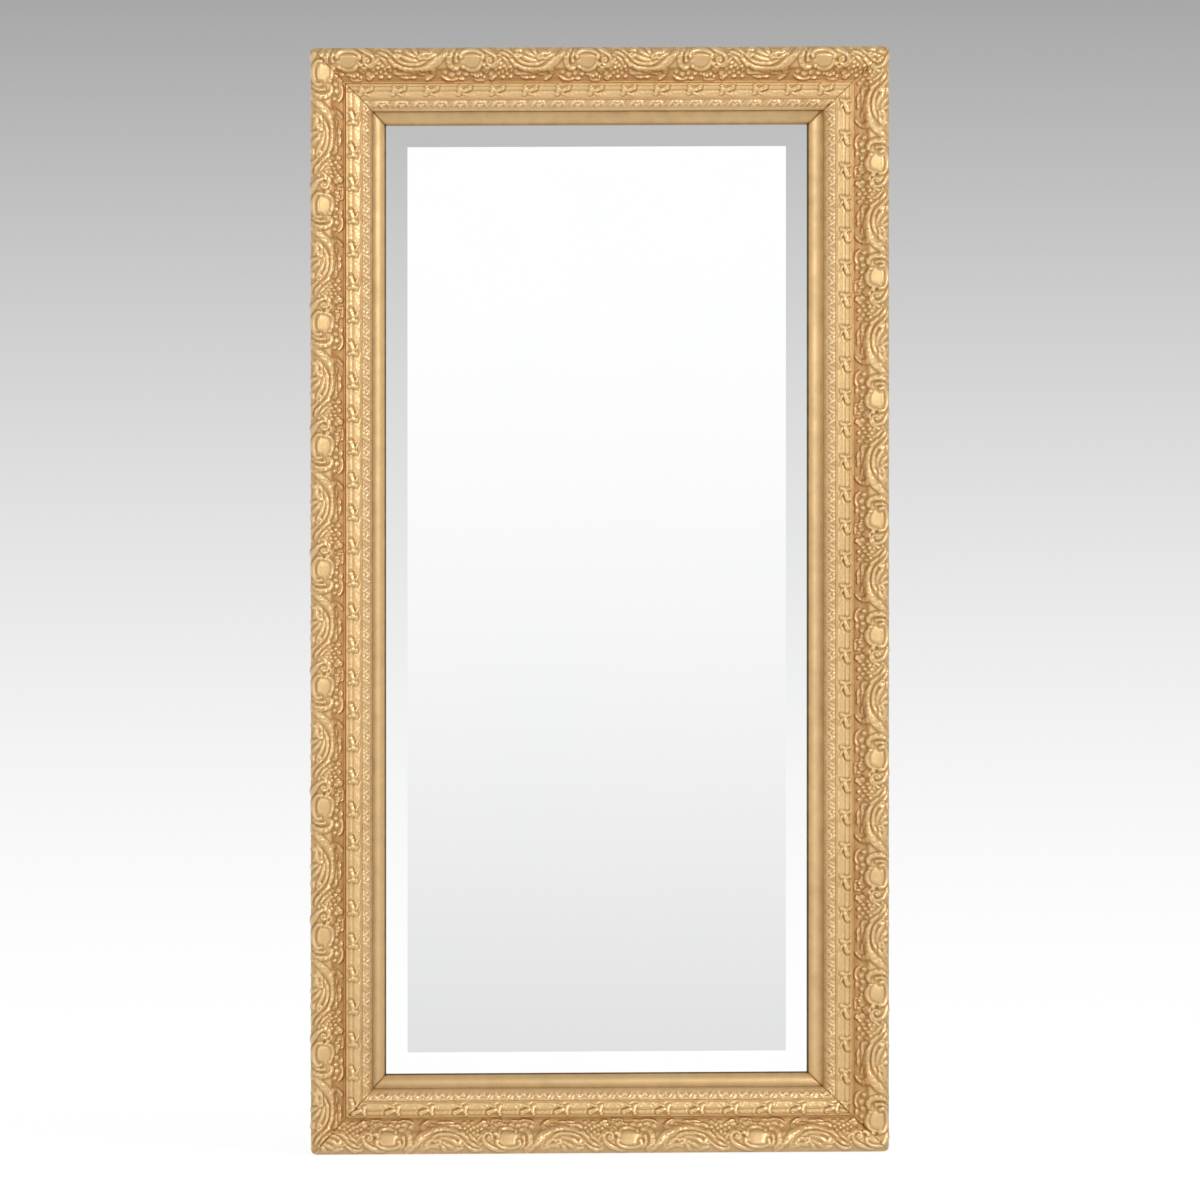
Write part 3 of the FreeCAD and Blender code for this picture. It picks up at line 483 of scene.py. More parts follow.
def ribbon_tile():
    """Middle band: two flat rods with a thin groove between, and at every repeat a plump knot of a curl, a
    stub over it and a leaf beside them. A rod is the root of (1 - (offset / half-width) to the power 4)."""
    tile = Tile(RIBBON_REPEAT, V_RIBBON - V_ORNAMENT)
    for middle, half in RODS:
        rod = np.clip(1 - ((tile.v - middle) / half) ** 4, 0, 1) ** 0.5
        tile.height = np.maximum(tile.height, rod)
    tile.carve([(-0.5 * RIBBON_REPEAT, 9.8), (0.5 * RIBBON_REPEAT, 9.8)], 0.6, 0.6)
    tile.stroke([(0.4, 4.6), (1.2, 7.4), (0.6, 10.4)], [3.0, 3.5, 3.0], [3.0, 3.4, 3.2])
    tile.stroke([(2.6, 10.0), (8.2, 8.2), (14.0, 6.0)], [2.6, 3.3, 3.5], [3.1, 3.4, 2.9], 0.12)
    tile.stroke([(4.6, 13.4), (9.0, 14.0), (12.8, 16.4)], [1.6, 2.2, 1.2], [2.4, 2.7, 1.8])
    tile.dome((-0.2, 13.6), (3.5, 3.3), 3.7)
    tile.roughen(0.2)
    tile.carve(spiral((-0.2, 13.6), 1.9, 20, 0.8, 0.5), 0.6, 0.9)
    tile.groove([(17.4, 3.6), (17.8, 7.2), (14.4, 10.4), (9.4, 11.6)], 0.9, 1.2)
    tile.groove([(3.9, 12.2), (4.0, 15.4), (1.0, 17.6), (-2.8, 17.0)], 0.8, 0.9)
    return tile


def leaf_tile():
    """Inner band: a pair of leaves to a half-repeat, which lean apart in one half and together in the other,
    with a round lump between and a hooked crease before each pair, above a low round bead at the lip."""
    tile = Tile(LEAF_REPEAT, V_LIP - V_RIBBON)
    middle, half, rise = LIP_BEAD
    tile.height = rise * np.sqrt(np.clip(1 - ((tile.v - middle) / half) ** 2, 0, 1))
    for start, bold, lean in ((0.0, 1.0, 1.0), (0.5 * LEAF_REPEAT, 0.85, -1.0)):
        left_leaf = [(start - 3.2 * lean, 9.2), (start - 1.6 * lean, 6.2), (start + 1.4 * lean, 3.0)]
        right_leaf = [(start + 5.6 * lean, 9.6), (start + 4.6 * lean, 7.2), (start + 2.8 * lean, 5.4)]
        tile.stroke(left_leaf, [1.5, 2.5, 2.0], [1.7 * bold, 2.4 * bold, 2.0 * bold])
        tile.stroke(right_leaf, [1.3, 1.8, 1.3], [1.6 * bold, 2.0 * bold, 1.6 * bold])
        tile.dome((start + 5.4 * lean, 3.0), (1.8, 1.7), 1.8 * bold)
        hook = [(start - 5.4 * lean, 1.2), (start - 5.2 * lean, 4.2), (start - 3.0 * lean, 5.2)]
        tile.groove(hook, 0.8, 1.3 * bold)
    tile.roughen(0.3)
    return tile


# Moulding meshes


def densify(corners, spacing):
    """Section line through corners (v, f, rise): straight, or an arc that rises to the left of the straight
    line. Each stretch is divided evenly at about its own spacing."""
    points = [np.array([corners[0][:2]], float)]
    for before, corner, step in zip(corners[:-1], corners[1:], spacing):
        start = np.array(before[:2], float)
        end = np.array(corner[:2], float)
        rise = corner[2] if len(corner) == 3 else 0.0
        chord = np.hypot(*(end - start))
        count = max(1, int(math.ceil(chord / step)))
        t = np.linspace(0, 1, count + 1)[1:, None]
        left = np.array([-(end - start)[1], (end - start)[0]]) / chord
        line = start + t * (end - start)
        if abs(rise) > 1e-9:
            radius = (chord**2 / 4 + rise**2) / (2 * abs(rise))
            along = (t - 0.5) * chord
            line = line + left * math.copysign(1, rise) * (
                np.sqrt(radius**2 - along**2) - (radius - abs(rise))
            )
        points.append(line)
    return np.vstack(points)


def normals_of(line):
    """Outward unit normals of a section line that runs with the outside on its left."""
    slope = np.gradient(line, axis=0)
    slope /= np.hypot(slope[:, 0], slope[:, 1])[:, None]
    return np.stack([-slope[:, 1], slope[:, 0]], 1)


def turned(x, y, z, turns):
    """Point of the top side, carried by quarter turns about Y to another side."""
    for _turn in range(turns):
        x, z = z, -x
    return np.stack([x, y, z], -1)


def tube_faces(columns, rows):
    """Quads round a closed section carried along columns, with one many-sided cap at each end."""
    c, r = np.meshgrid(np.arange(columns - 1), np.arange(rows), indexing="ij")
    r1 = (r + 1) % rows
    here = c * rows
    ahead = here + rows
    quads = np.stack([here + r, here + r1, ahead + r1, ahead + r], -1).reshape(-1, 4)
    first = np.arange(rows)[::-1]
    last = (columns - 1) * rows + np.arange(rows)
    return quads, first, last


def mesh_object(name, points, quads, caps, fields):
    """Object from points in metres, quads and caps, with its float fields kept as point attributes."""
    mesh = bpy.data.meshes.new(name)
    corners = np.concatenate([quads.ravel(), *caps]).astype(np.int32)
    sizes = np.concatenate([np.full(len(quads), 4), [len(cap) for cap in caps]]).astype(np.int32)
    starts = np.concatenate([[0], np.cumsum(sizes)[:-1]]).astype(np.int32)
    mesh.vertices.add(len(points))
    mesh.vertices.foreach_set("co", points.astype(np.float32).ravel())
    mesh.loops.add(len(corners))
    mesh.loops.foreach_set("vertex_index", corners)
    mesh.polygons.add(len(sizes))
    mesh.polygons.foreach_set("loop_start", starts)
    smooth = np.ones(len(sizes), bool)
    smooth[len(quads):] = False
    mesh.polygons.foreach_set("use_smooth", smooth)
    mesh.update(calc_edges=True)
    mesh.validate()
    for field, values in fields.items():
        kept = mesh.attributes.new(field, "FLOAT", "POINT")
        kept.data.foreach_set("value", values.astype(np.float32).ravel())
    made = bpy.data.objects.new(name, mesh)
    bpy.context.scene.collection.objects.link(made)
    return made


Relief = namedtuple("Relief", "tile height low spacing start ground")


def relief_of(tile, softness, spacing, start, ground):
    """A tile made ready for its band: its softened heights, and a wider blur that tells hollows from high
    places, with how it is spaced along a side, where the band starts, and the height that lies level."""
    height = tile.blurred(softness)
    tile.height = height
    return Relief(tile, height, tile.blurred(LEVEL_BLUR), spacing, start, ground)


def raised_share(v, relief):
    """Share of the relief that stands at v: none at the band's two edges, and all of it a little way in."""
    from_start = np.clip((v - relief.start + START_SLACK) / START_EASE, 0, 1)
    to_end = np.clip((relief.tile.depth - v + relief.start + END_SLACK) / END_EASE, 0, 1)
    return from_start * to_end


def moulding(name, side, section, column, painted_shade, relief=None, laid_in=0.0):
    """Length of moulding: a closed section, front then back, carried along one side between the two mitres.

    The front is pushed out along its own normal by the relief's height, less its ground. At a share a of the
    half-length, a point at v lies at s = a (half-length - v), so both ends lie in the mitre planes.
    """
    length, half, turns = SIDES[side]
    columns = int(length / column) + 1
    share = np.linspace(-1, 1, columns)[:, None]
    front, back = section
    line = np.vstack([front, back])
    v = np.broadcast_to(line[:, 0], (columns, len(line))).copy()
    f = np.broadcast_to(line[:, 1], (columns, len(line))).copy()
    # Painted shade along the band, as a share of darkening, from the band's shade function
    hollow = painted_shade(v)
    painted_highlight = np.zeros(v.shape)
    if relief is not None:
        count = len(front)
        s = relief.spacing(share * (length / 2 - v[:, :count]), side)
        shift = laid_in * np.clip((LAID_TO - v[:, :count]) / LAID_OVER, 0, 1)
        band = v[:, :count] - relief.start - shift
        rise = relief.tile.sample(relief.height, s, band)
        shade = relief.tile.sample(relief.height - relief.low, s, band)
        out = normals_of(front)
        push = (rise - relief.ground) * raised_share(front[:, 0], relief)
        v[:, :count] += push * out[:, 0]
        f[:, :count] += push * out[:, 1]
        # Low places below the blurred level are darkened as painted shade, partly a darker wash
        low_places = hollow[:, :count] * np.clip(1 - shade / UNSHADED_RISE, 0, 1)
        hollow[:, :count] = np.maximum(low_places, np.clip(-shade / FULL_SHADE_DEPTH, 0, 1))
        # High places above the blurred level are lightened as a painted highlight
        painted_highlight[:, :count] = np.clip(shade / FULL_HIGHLIGHT_RISE, 0, 1)
    near_mitre = np.clip(1 - (1 - np.abs(share)) * (length / 2 - v) / MITRE_LINE, 0, 1) * mitre_dirt(v)
    hollow = np.maximum(hollow, near_mitre)
    painted_highlight = painted_highlight * (1 - near_mitre)
    x, v = rounded_corner(share * (length / 2 - MITRE_GAP - v), v, length)
    points = turned(x * MM, (BACK_Y - f) * MM, (half - v) * MM, turns)
    quads, first, last = tube_faces(columns, len(line))
    # Point attributes: hollow carries the painted shade and the dark mitre joints, and the other carries the
    # painted highlight
    fields = {"hollow": hollow, "painted_highlight": painted_highlight}
    made = mesh_object(name, points.reshape(-1, 3), quads, [first, last], fields)
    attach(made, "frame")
    return made


def mitre_dirt(v):
    """Dirt in the mitres: full on the inner bands, faint on the outer band's high part and on the slip."""
    on_bands = np.clip((v - LAND[0]) / MITRE_DIRT_OVER, MITRE_DIRT_LEAST, 1)
    return on_bands * np.where(v > V_LIP, MITRE_DIRT_ON_SLIP, 1.0)


def rounded_corner(x, v, length):
    """Outer corners rounded: a point farther than the radius from the arc's centre is drawn in to it."""
    beside = CORNER_RADIUS - length / 2 + np.abs(x)
    above = CORNER_RADIUS - v
    beyond = np.hypot(beside, above) / CORNER_RADIUS
    drawn = np.where((beside > 0) & (above > 0) & (beyond > 1), beyond, 1.0)
    x = np.where(drawn > 1, np.sign(x) * (length / 2 - CORNER_RADIUS + beside / drawn), x)
    return x, np.where(drawn > 1, CORNER_RADIUS - above / drawn, v)


def even_repeat(s, side):
    """Places along a side, moved to where they would be if its cartouches stood one even repeat apart."""
    middles = np.array(CARTOUCHES[side], float)
    ahead = math.ceil((middles[0] + PAST_CORNERS) / ORNAMENT_REPEAT)
    beyond = math.ceil((PAST_CORNERS - middles[-1]) / ORNAMENT_REPEAT)
    first = middles[0] - ORNAMENT_REPEAT * ahead
    last = middles[-1] + ORNAMENT_REPEAT * beyond
    places = np.concatenate([[first], middles, [last]])
    steps = np.round((middles[1:] - middles[:-1]) / ORNAMENT_REPEAT)
    even = np.concatenate([[0], np.cumsum(steps)])
    even = np.concatenate([[-ahead], even, [even[-1] + beyond]])
    return np.interp(s, places, even * ORNAMENT_REPEAT)


def tied_repeat(s, side):
    """Places along a side in the ribbon's own repeats, counted from one of its ties."""
    first, pitch = TIES[side]
    return (s - first) * RIBBON_REPEAT / pitch


def leafy_repeat(s, side):
    """Places along a side in the leaf band's own repeats, counted from one of its leaves."""
    first, pitch = LEAVES[side]
    return (s - first) * LEAF_REPEAT / pitch


# Corners and heights of the sections, as (v, f) or f alone
CREST = (11.0, 62.0)
LAND = (27.0, 55.5)
HOLLOW_F = 40.0
SIDE_F = 34.0
SHOULDER_F = 50.0
RIBBON_F = 39.5
LIP_F = 30.0

# How far the side slopes in down to the back, its v where the outer band ends, and the easing of the arris
SIDE_SET_BACK = 8.0
SIDE_V = SIDE_SET_BACK * (1 - SIDE_F / SHOULDER_F)
ARRIS_REACH = 6.0
ARRIS_PASSES = 14

# How much the shoulder, the ogee, the inner band and the slip's bead rise over straight lines
SHOULDER_RISE = 3.4
OGEE_RISE = -3.5
LEAF_RISE = 1.2
BEAD_RISE = 2.3

# Thicknesses of the bands at their edges, the side's thickness, and the seat behind the shoulder
BAND_THICK = 4.2
LIP_THICK = 3.2
SIDE_THICK = 4.7
SEAT_STEP_V = 38.0
SEAT_CREST = (CREST[0], 57.7)
SEAT_LAND = (LAND[0], 50.4)

# The fillet: how far under the hollow it starts, its rounded edge, its flat top, its width and its fall
FILLET_START = 1.2
FILLET_EDGE = 1.0
FILLET_FLAT = 3.2
FILLET_WIDE = 4.0
FILLET_FALL = 1.6

# The slip: its quirk under the lip, its thin sight edge with heights from the plate's front, and its rebate
QUIRK_WIDE = 1.6
QUIRK_DEEP = 3.6
SIGHT_EDGE_WIDE = 0.5
SIGHT_EDGE_TOP = -1.4
SIGHT_EDGE_SIDE = -1.7
SIGHT_EDGE_BACK = -2.4
SLIP_REBATE = 8.0


def eased_arris(line, v, reach):
    """Section line with its arris at v eased: each point within reach of it is drawn, over and over, towards
    a mean of itself and its two neighbours."""
    near = np.clip(1.2 - np.abs(line[1:-1, 0] - v) / reach, 0, 1)[:, None]
    for _pass in range(ARRIS_PASSES):
        mean = 0.25 * line[:-2] + 0.5 * line[1:-1] + 0.25 * line[2:]
        line = np.vstack([line[:1], line[1:-1] + near * (mean - line[1:-1]), line[-1:]])
    return line


def ornament_section():
    """Sloping side, rounded shoulder, land and ogee, then the seat behind them."""
    corners = [
        (SIDE_V, SIDE_F),
        (0, SHOULDER_F),
        (*CREST, SHOULDER_RISE),
        LAND,
        (V_ORNAMENT, HOLLOW_F, OGEE_RISE),
    ]
    front = eased_arris(densify(corners, [6.0, 1.0, 0.85, 0.85]), LAND[0], ARRIS_REACH)
    back = np.array([
        (V_ORNAMENT, HOLLOW_F - BAND_THICK),
        (SEAT_STEP_V, HOLLOW_F - BAND_THICK),
        SEAT_LAND,
        SEAT_CREST,
        (SIDE_THICK, SHOULDER_F),
        (SIDE_THICK, SIDE_F),
    ])
    return front, back


def ribbon_section():
    """Raised fillet and sloping band, then the seat behind them."""
    corners = [
        (V_ORNAMENT, HOLLOW_F - FILLET_START),
        (V_ORNAMENT, F_FILLET - FILLET_EDGE),
        (V_ORNAMENT + FILLET_EDGE, F_FILLET, 0.3),
        (V_ORNAMENT + FILLET_FLAT, F_FILLET),
        (V_ORNAMENT + FILLET_WIDE, F_FILLET - FILLET_FALL, 0.2),
        (V_RIBBON, RIBBON_F),
    ]
    front = densify(corners, [2.0, 0.5, 1.1, 0.6, 0.62])
    back = np.array([(V_RIBBON, RIBBON_F - BAND_THICK)])
    return front, back


def leaf_section():
    """Rounded band that falls to the lip, then the seat behind it."""
    corners = [(V_RIBBON, RIBBON_F - BAND_THICK), (V_RIBBON, RIBBON_F), (V_LIP, LIP_F, LEAF_RISE)]
    front = densify(corners, [2.0, 0.55])
    back = np.array([(V_LIP, LIP_F - LIP_THICK)])
    return front, back


def slip_section():
    """Slip: tongue, quirk, one broad bead and thin sight edge, then the rebate behind them."""
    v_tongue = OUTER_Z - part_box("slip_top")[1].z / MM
    corners = [
        (v_tongue, F_PLATE),
        (v_tongue, F_SLIP),
        (V_LIP, F_SLIP),
        (V_LIP + QUIRK_WIDE, F_SLIP - QUIRK_DEEP),
        (V_SIGHT - SIGHT_EDGE_WIDE, F_PLATE_FRONT + SIGHT_EDGE_TOP, BEAD_RISE),
        (V_SIGHT, F_PLATE_FRONT + SIGHT_EDGE_SIDE),
        (V_SIGHT, F_PLATE_FRONT + SIGHT_EDGE_BACK),
    ]
    front = densify(corners, [20.0, 20.0, 0.5, 0.4, 0.4, 0.4])
    v_rebate = V_SIGHT - SLIP_REBATE
    back = np.array([(v_rebate, F_PLATE_FRONT + SIGHT_EDGE_BACK), (v_rebate, F_PLATE)])
    return front, back


def painted_hollow_shade(v):
    """Painted shade, partly a darker wash, in the outer band: none on its high part, rising over eight
    millimetres in the hollow beside the fillet, and halved at the fillet's foot."""
    before = V_ORNAMENT - v
    foot = np.clip((HOLLOW_FOOT - before) / HOLLOW_FOOT_FADE, 0, 1)
    return HOLLOW_PAINTED_SHADE * np.clip((HOLLOW_START - before) / HOLLOW_FADE, 0, 1) * (1 - 0.5 * foot)


def painted_fillet_shade(side):
    """Painted shade on one side's middle band, as a function of v, with a little darker wash on the fillet:
    it covers the fillet, with a narrow painted shadow at the foot of its inner side and a painted shade line
    at the seam with the inner band, and fades out over the first rod."""
    on_fillet, in_foot, over_rod = FILLET_PAINTED_SHADE[side]

    def painted_shade(v):
        inward = v - V_ORNAMENT
        fillet = on_fillet * np.clip((FILLET_WIDE - inward) / FILLET_FADE, 0, 1)
        foot = in_foot * np.clip(1 - np.abs(inward - FILLET_FOOT) / FILLET_FOOT_FADE, 0, 1)
        seam = SEAM_PAINTED_SHADE * np.clip(1 - (V_RIBBON - v) / SEAM_FADE, 0, 1)
        rod = over_rod * np.clip((ROD_END - inward) / ROD_FADE, 0, 1)
        return np.maximum.reduce([fillet, foot, seam, rod])

    return painted_shade


def painted_lip_shade(side):
    """Painted shade on one side's inner band, as a function of v: a narrow line along its seam with the
    middle band, and the low bead at the lip."""

    def painted_shade(v):
        seam = SEAM_PAINTED_SHADE * np.clip(1 - (v - V_RIBBON) / SEAM_FADE, 0, 1)
        bead = LIP_PAINTED_SHADE[side] * np.clip((v - V_LIP + BEAD_START) / BEAD_FADE, 0, 1)
        return np.maximum(seam, bead)

    return painted_shade


def painted_slip_shade(side):
    """Painted shade on one side's slip, as a function of v: the lip's painted shadow fades away from the
    quirk under the lip, and a narrow line of painted shade lies along the sight edge."""
    in_quirk, reach, on_edge, line = SLIP_PAINTED_SHADE[side]

    def painted_shade(v):
        quirk = in_quirk * np.clip((V_LIP + reach - v) / (0.7 * reach), 0, 1)
        edge = on_edge * np.clip((v - V_SIGHT + line) / (0.5 * line), 0, 1)
        return np.maximum(quirk, edge)

    return painted_shade


# Node helpers


def add(tree, kind, inputs=None, **settings):
    """New node with its settings, and each named or numbered input set to a value or joined to a socket."""
    made = tree.nodes.new(kind)
    for key, value in settings.items():
        setattr(made, key, value)
    for key, value in (inputs or {}).items():
        if isinstance(value, bpy.types.NodeSocket):
            tree.links.new(value, made.inputs[key])
        else:
            made.inputs[key].default_value = value
    return made


def maths(tree, operation, a, b=0.0, clamp=False):
    """Result of one sum on two values or sockets."""
    return add(tree, "ShaderNodeMath", {0: a, 1: b}, operation=operation, use_clamp=clamp).outputs[0]


def mixed(tree, factor, a, b):
    """Colour mixed from a to b by a factor."""
    made = add(tree, "ShaderNodeMix", {"Factor": factor}, data_type="RGBA")
    for socket, value in ((made.inputs[6], a), (made.inputs[7], b)):
        if isinstance(value, bpy.types.NodeSocket):
            tree.links.new(value, socket)
        else:
            socket.default_value = value
    return made.outputs[2]


def spread(tree, value, low, high, to_low=0.0, to_high=1.0):
    """Value moved from one range to another, and held inside it."""
    keys = {"Value": value, "From Min": low, "From Max": high, "To Min": to_low, "To Max": to_high}
    return add(tree, "ShaderNodeMapRange", keys).outputs["Result"]


def noise(tree, vector, scale, detail=3.0, roughness=0.5):
    """Fractal noise about a half."""
    keys = {"Vector": vector, "Scale": scale, "Detail": detail, "Roughness": roughness}
    return add(tree, "ShaderNodeTexNoise", keys).outputs["Fac"]


def stretched_along_z(tree, vector, share):
    """Vector with its Z cut to a share, so that a pattern made from it is drawn out along Z."""
    keys = {0: vector, 1: (1.0, 1.0, share)}
    return add(tree, "ShaderNodeVectorMath", keys, operation="MULTIPLY").outputs[0]


def object_place(tree):
    """Place in the object's own space, for a pattern that stays with it."""
    return tree.nodes.new("ShaderNodeTexCoord").outputs["Object"]


def srgb(red, green, blue):
    """Linear colour from 0 to 255 screen values."""
    values = np.array([red, green, blue]) / 255.0
    linear = np.where(values <= 0.04045, values / 12.92, ((values + 0.055) / 1.055) ** 2.4)
    return (*map(float, linear), 1.0)


def group(name, inputs, outputs):
    """Empty shader group with its sockets, as its tree, its input node and its output node."""
    tree = bpy.data.node_groups.new(name, "ShaderNodeTree")
    for socket, kind in inputs:
        tree.interface.new_socket(socket, in_out="INPUT", socket_type=kind)
    for socket, kind in outputs:
        tree.interface.new_socket(socket, in_out="OUTPUT", socket_type=kind)
    return tree, tree.nodes.new("NodeGroupInput"), tree.nodes.new("NodeGroupOutput")


COLOUR = "NodeSocketColor"
NUMBER = "NodeSocketFloat"
VECTOR = "NodeSocketVector"


def gilding_group():
    """Gilding: drifts of tone, patches of leaf, painted shade with a darker wash in hollows, a painted
    highlight on high places, and fine grit.
    """
    tree, inp, out = group(
        "gilding",
        [("Leaf", COLOUR), ("Shade and Toning", COLOUR), ("Highlight", COLOUR), ("Hollows", NUMBER)],
        [("Color", COLOUR), ("Roughness", NUMBER), ("Height", NUMBER)],
    )
    place = object_place(tree)
    hollow = add(tree, "ShaderNodeAttribute", attribute_name="hollow").outputs["Fac"]
    painted_highlight = add(tree, "ShaderNodeAttribute", attribute_name="painted_highlight").outputs["Fac"]
    drift = noise(tree, place, 5.0, 2.0)
    patch = noise(tree, place, 60.0, 3.0)
    grit = noise(tree, place, 900.0, 2.0)
    chased = noise(tree, place, 260.0, 2.0)
    # Painted shade in low places: the hollow attribute times its strength darkens the leaf towards the dark
    # colour, with random tone from noise added
    dark = maths(tree, "MULTIPLY", hollow, inp.outputs["Hollows"])
    dark = maths(tree, "ADD", dark, spread(tree, patch, 0.35, 0.75, 0.0, 0.16))
    dark = maths(tree, "ADD", dark, spread(tree, drift, 0.3, 0.7, 0.0, 0.10), True)
    darkened = mixed(tree, dark, inp.outputs["Leaf"], inp.outputs["Shade and Toning"])
    # Painted highlight: high places lightened towards the light colour
    bright = maths(tree, "MULTIPLY", painted_highlight, spread(tree, patch, 0.3, 0.7, 0.35, 0.75))
    tree.links.new(mixed(tree, bright, darkened, inp.outputs["Highlight"]), out.inputs["Color"])
    matt = maths(tree, "MULTIPLY", hollow, 0.2)
    rough = maths(tree, "ADD", spread(tree, patch, 0.3, 0.7, 0.34, 0.42), matt)
    polish = maths(tree, "MULTIPLY", painted_highlight, 0.06)
    tree.links.new(maths(tree, "SUBTRACT", rough, polish), out.inputs["Roughness"])
    height = maths(tree, "ADD", grit, maths(tree, "MULTIPLY", patch, 2.0))
    tree.links.new(maths(tree, "ADD", height, maths(tree, "MULTIPLY", chased, 2.5)), out.inputs["Height"])
    return tree


def grain_group():
    """Wood grain along the vector's Z: long streaks of early and late wood, which wander, and pores."""
    tree, inp, out = group(
        "wood_grain",
        [("Vector", VECTOR), ("Early", COLOUR), ("Late", COLOUR)],
        [("Color", COLOUR), ("Roughness", NUMBER), ("Height", NUMBER)],
    )
    stretched = stretched_along_z(tree, inp.outputs["Vector"], 0.045)
    wander = noise(tree, stretched, 14.0, 3.0)
    rings = noise(tree, stretched, 95.0, 4.0, 0.6)
    pores = noise(tree, stretched, 900.0, 2.0)
    band = maths(tree, "ADD", maths(tree, "MULTIPLY", wander, 9.0), maths(tree, "MULTIPLY", rings, 1.6))
    wave = maths(tree, "ABSOLUTE", maths(tree, "SINE", maths(tree, "MULTIPLY", band, 6.0)))
    streak = maths(tree, "POWER", wave, 2.0)
    late = maths(tree, "MULTIPLY", streak, spread(tree, rings, 0.3, 0.7, 0.35, 0.85))
    color = mixed(tree, late, inp.outputs["Early"], inp.outputs["Late"])
    fleck = spread(tree, pores, 0.58, 0.75, 0.0, 0.4)
    tree.links.new(mixed(tree, fleck, color, inp.outputs["Late"]), out.inputs["Color"])
    tree.links.new(spread(tree, late, 0.0, 1.0, 0.72, 0.55), out.inputs["Roughness"])
    tree.links.new(maths(tree, "SUBTRACT", late, fleck), out.inputs["Height"])
    return tree


def scuff_group():
    """Handled metal: cloudy tarnish, fine scratches along one way, and a rougher finish where it is dull."""
    tree, inp, out = group(
        "scuffed_metal",
        [("Clean", COLOUR), ("Tarnish", COLOUR), ("Age", NUMBER)],
        [("Color", COLOUR), ("Roughness", NUMBER), ("Height", NUMBER)],
    )
    place = object_place(tree)
    cloud = noise(tree, place, 130.0, 4.0, 0.6)
    scratch = noise(tree, stretched_along_z(tree, place, 0.06), 2600.0, 2.0)
    dull = maths(tree, "MULTIPLY", spread(tree, cloud, 0.38, 0.66), inp.outputs["Age"])
    tree.links.new(mixed(tree, dull, inp.outputs["Clean"], inp.outputs["Tarnish"]), out.inputs["Color"])
    matt = maths(tree, "MULTIPLY", dull, 0.25)
    rough = maths(tree, "ADD", spread(tree, scratch, 0.3, 0.7, 0.26, 0.36), matt)
    tree.links.new(rough, out.inputs["Roughness"])
    tree.links.new(scratch, out.inputs["Height"])
    return tree


GILDING = gilding_group()
GRAIN = grain_group()
SCUFFS = scuff_group()


def surface(name, metallic=0.0):
    """New material, its tree and its Principled shader."""
    made = bpy.data.materials.new(name)
    made.use_nodes = True
    shader = made.node_tree.nodes["Principled BSDF"]
    shader.inputs["Metallic"].default_value = metallic
    return made, made.node_tree, shader


def join_finish(tree, shader, finish, strength, distance):
    """A finish group's colour, roughness and height, joined to the shader."""
    tree.links.new(finish.outputs["Color"], shader.inputs["Base Color"])
    tree.links.new(finish.outputs["Roughness"], shader.inputs["Roughness"])
    keys = {"Strength": strength, "Distance": distance, "Height": finish.outputs["Height"]}
    tree.links.new(add(tree, "ShaderNodeBump", keys).outputs["Normal"], shader.inputs["Normal"])


def gilt(name, leaf, shade_and_toning, highlight_colour, hollows, grit):
    """Gold finish in three tones: leaf, a dark colour of painted shade with a darker wash, and a light
    colour of painted highlight.
    """
    made, tree, shader = surface(name, 0.72)
    finish = add(tree, "ShaderNodeGroup", node_tree=GILDING)
    for key, value in (("Leaf", leaf), ("Shade and Toning", shade_and_toning), ("Highlight", highlight_colour), ("Hollows", hollows)):
        finish.inputs[key].default_value = value
    join_finish(tree, shader, finish, grit, 0.0004)
    return made


def grained(name, early, late, lying=False, cut=0.0):
    """Wood whose grain runs up, or along X where it is lying, cut from its own place in the log. It comes as
    the material, its tree, its shader, the place in the object and the finish."""
    made, tree, shader = surface(name)
    place = object_place(tree)
    turn = (0.0, math.pi / 2, 0.0) if lying else (0.0, 0.0, 0.0)
    keys = {"Vector": place, "Rotation": turn, "Location": (cut, 0.0, cut)}
    vector = add(tree, "ShaderNodeMapping", keys).outputs["Vector"]
    finish = add(tree, "ShaderNodeGroup", {"Vector": vector}, node_tree=GRAIN)
    finish.inputs["Early"].default_value = early
    finish.inputs["Late"].default_value = late
    join_finish(tree, shader, finish, 0.25, 0.0006)
    return made, tree, shader, place, finish


def wood(name, early, late, cut=0.0):
    """Plain wood whose grain runs up."""
    return grained(name, early, late, cut=cut)[0]


def toned_pine(name, lying):
    """Pine rail: bare wood at the back, and an ochre wash on the frame's outer sides, which are all that is
    farther out than the slope from the back's outer edge, less half a millimetre."""
    made, tree, shader, place, finish = grained(name, srgb(203, 165, 112), srgb(156, 110, 64), lying)
    parts = add(tree, "ShaderNodeSeparateXYZ", {"Vector": place})
    forward = maths(tree, "SUBTRACT", BACK_Y * MM, parts.outputs["Y"])
    slope = maths(tree, "MULTIPLY", forward, SIDE_SET_BACK / SHOULDER_F)
    across = maths(tree, "SUBTRACT", maths(tree, "ABSOLUTE", parts.outputs["X"]), WIDTH / 2 * MM)
    up = maths(tree, "SUBTRACT", maths(tree, "ABSOLUTE", parts.outputs["Z"]), HEIGHT / 2 * MM)
    reach = maths(tree, "SUBTRACT", maths(tree, "MAXIMUM", across, up), slope)
    outside = maths(tree, "GREATER_THAN", reach, -(SIDE_SET_BACK + 0.5) * MM)
    worn = spread(tree, noise(tree, place, 35.0, 4.0, 0.6), 0.32, 0.62, 0.55, 0.96)
    covered = maths(tree, "MULTIPLY", outside, worn)
    wash = mixed(tree, covered, finish.outputs["Color"], srgb(188, 140, 78))
    tree.links.new(wash, shader.inputs["Base Color"])
    return made


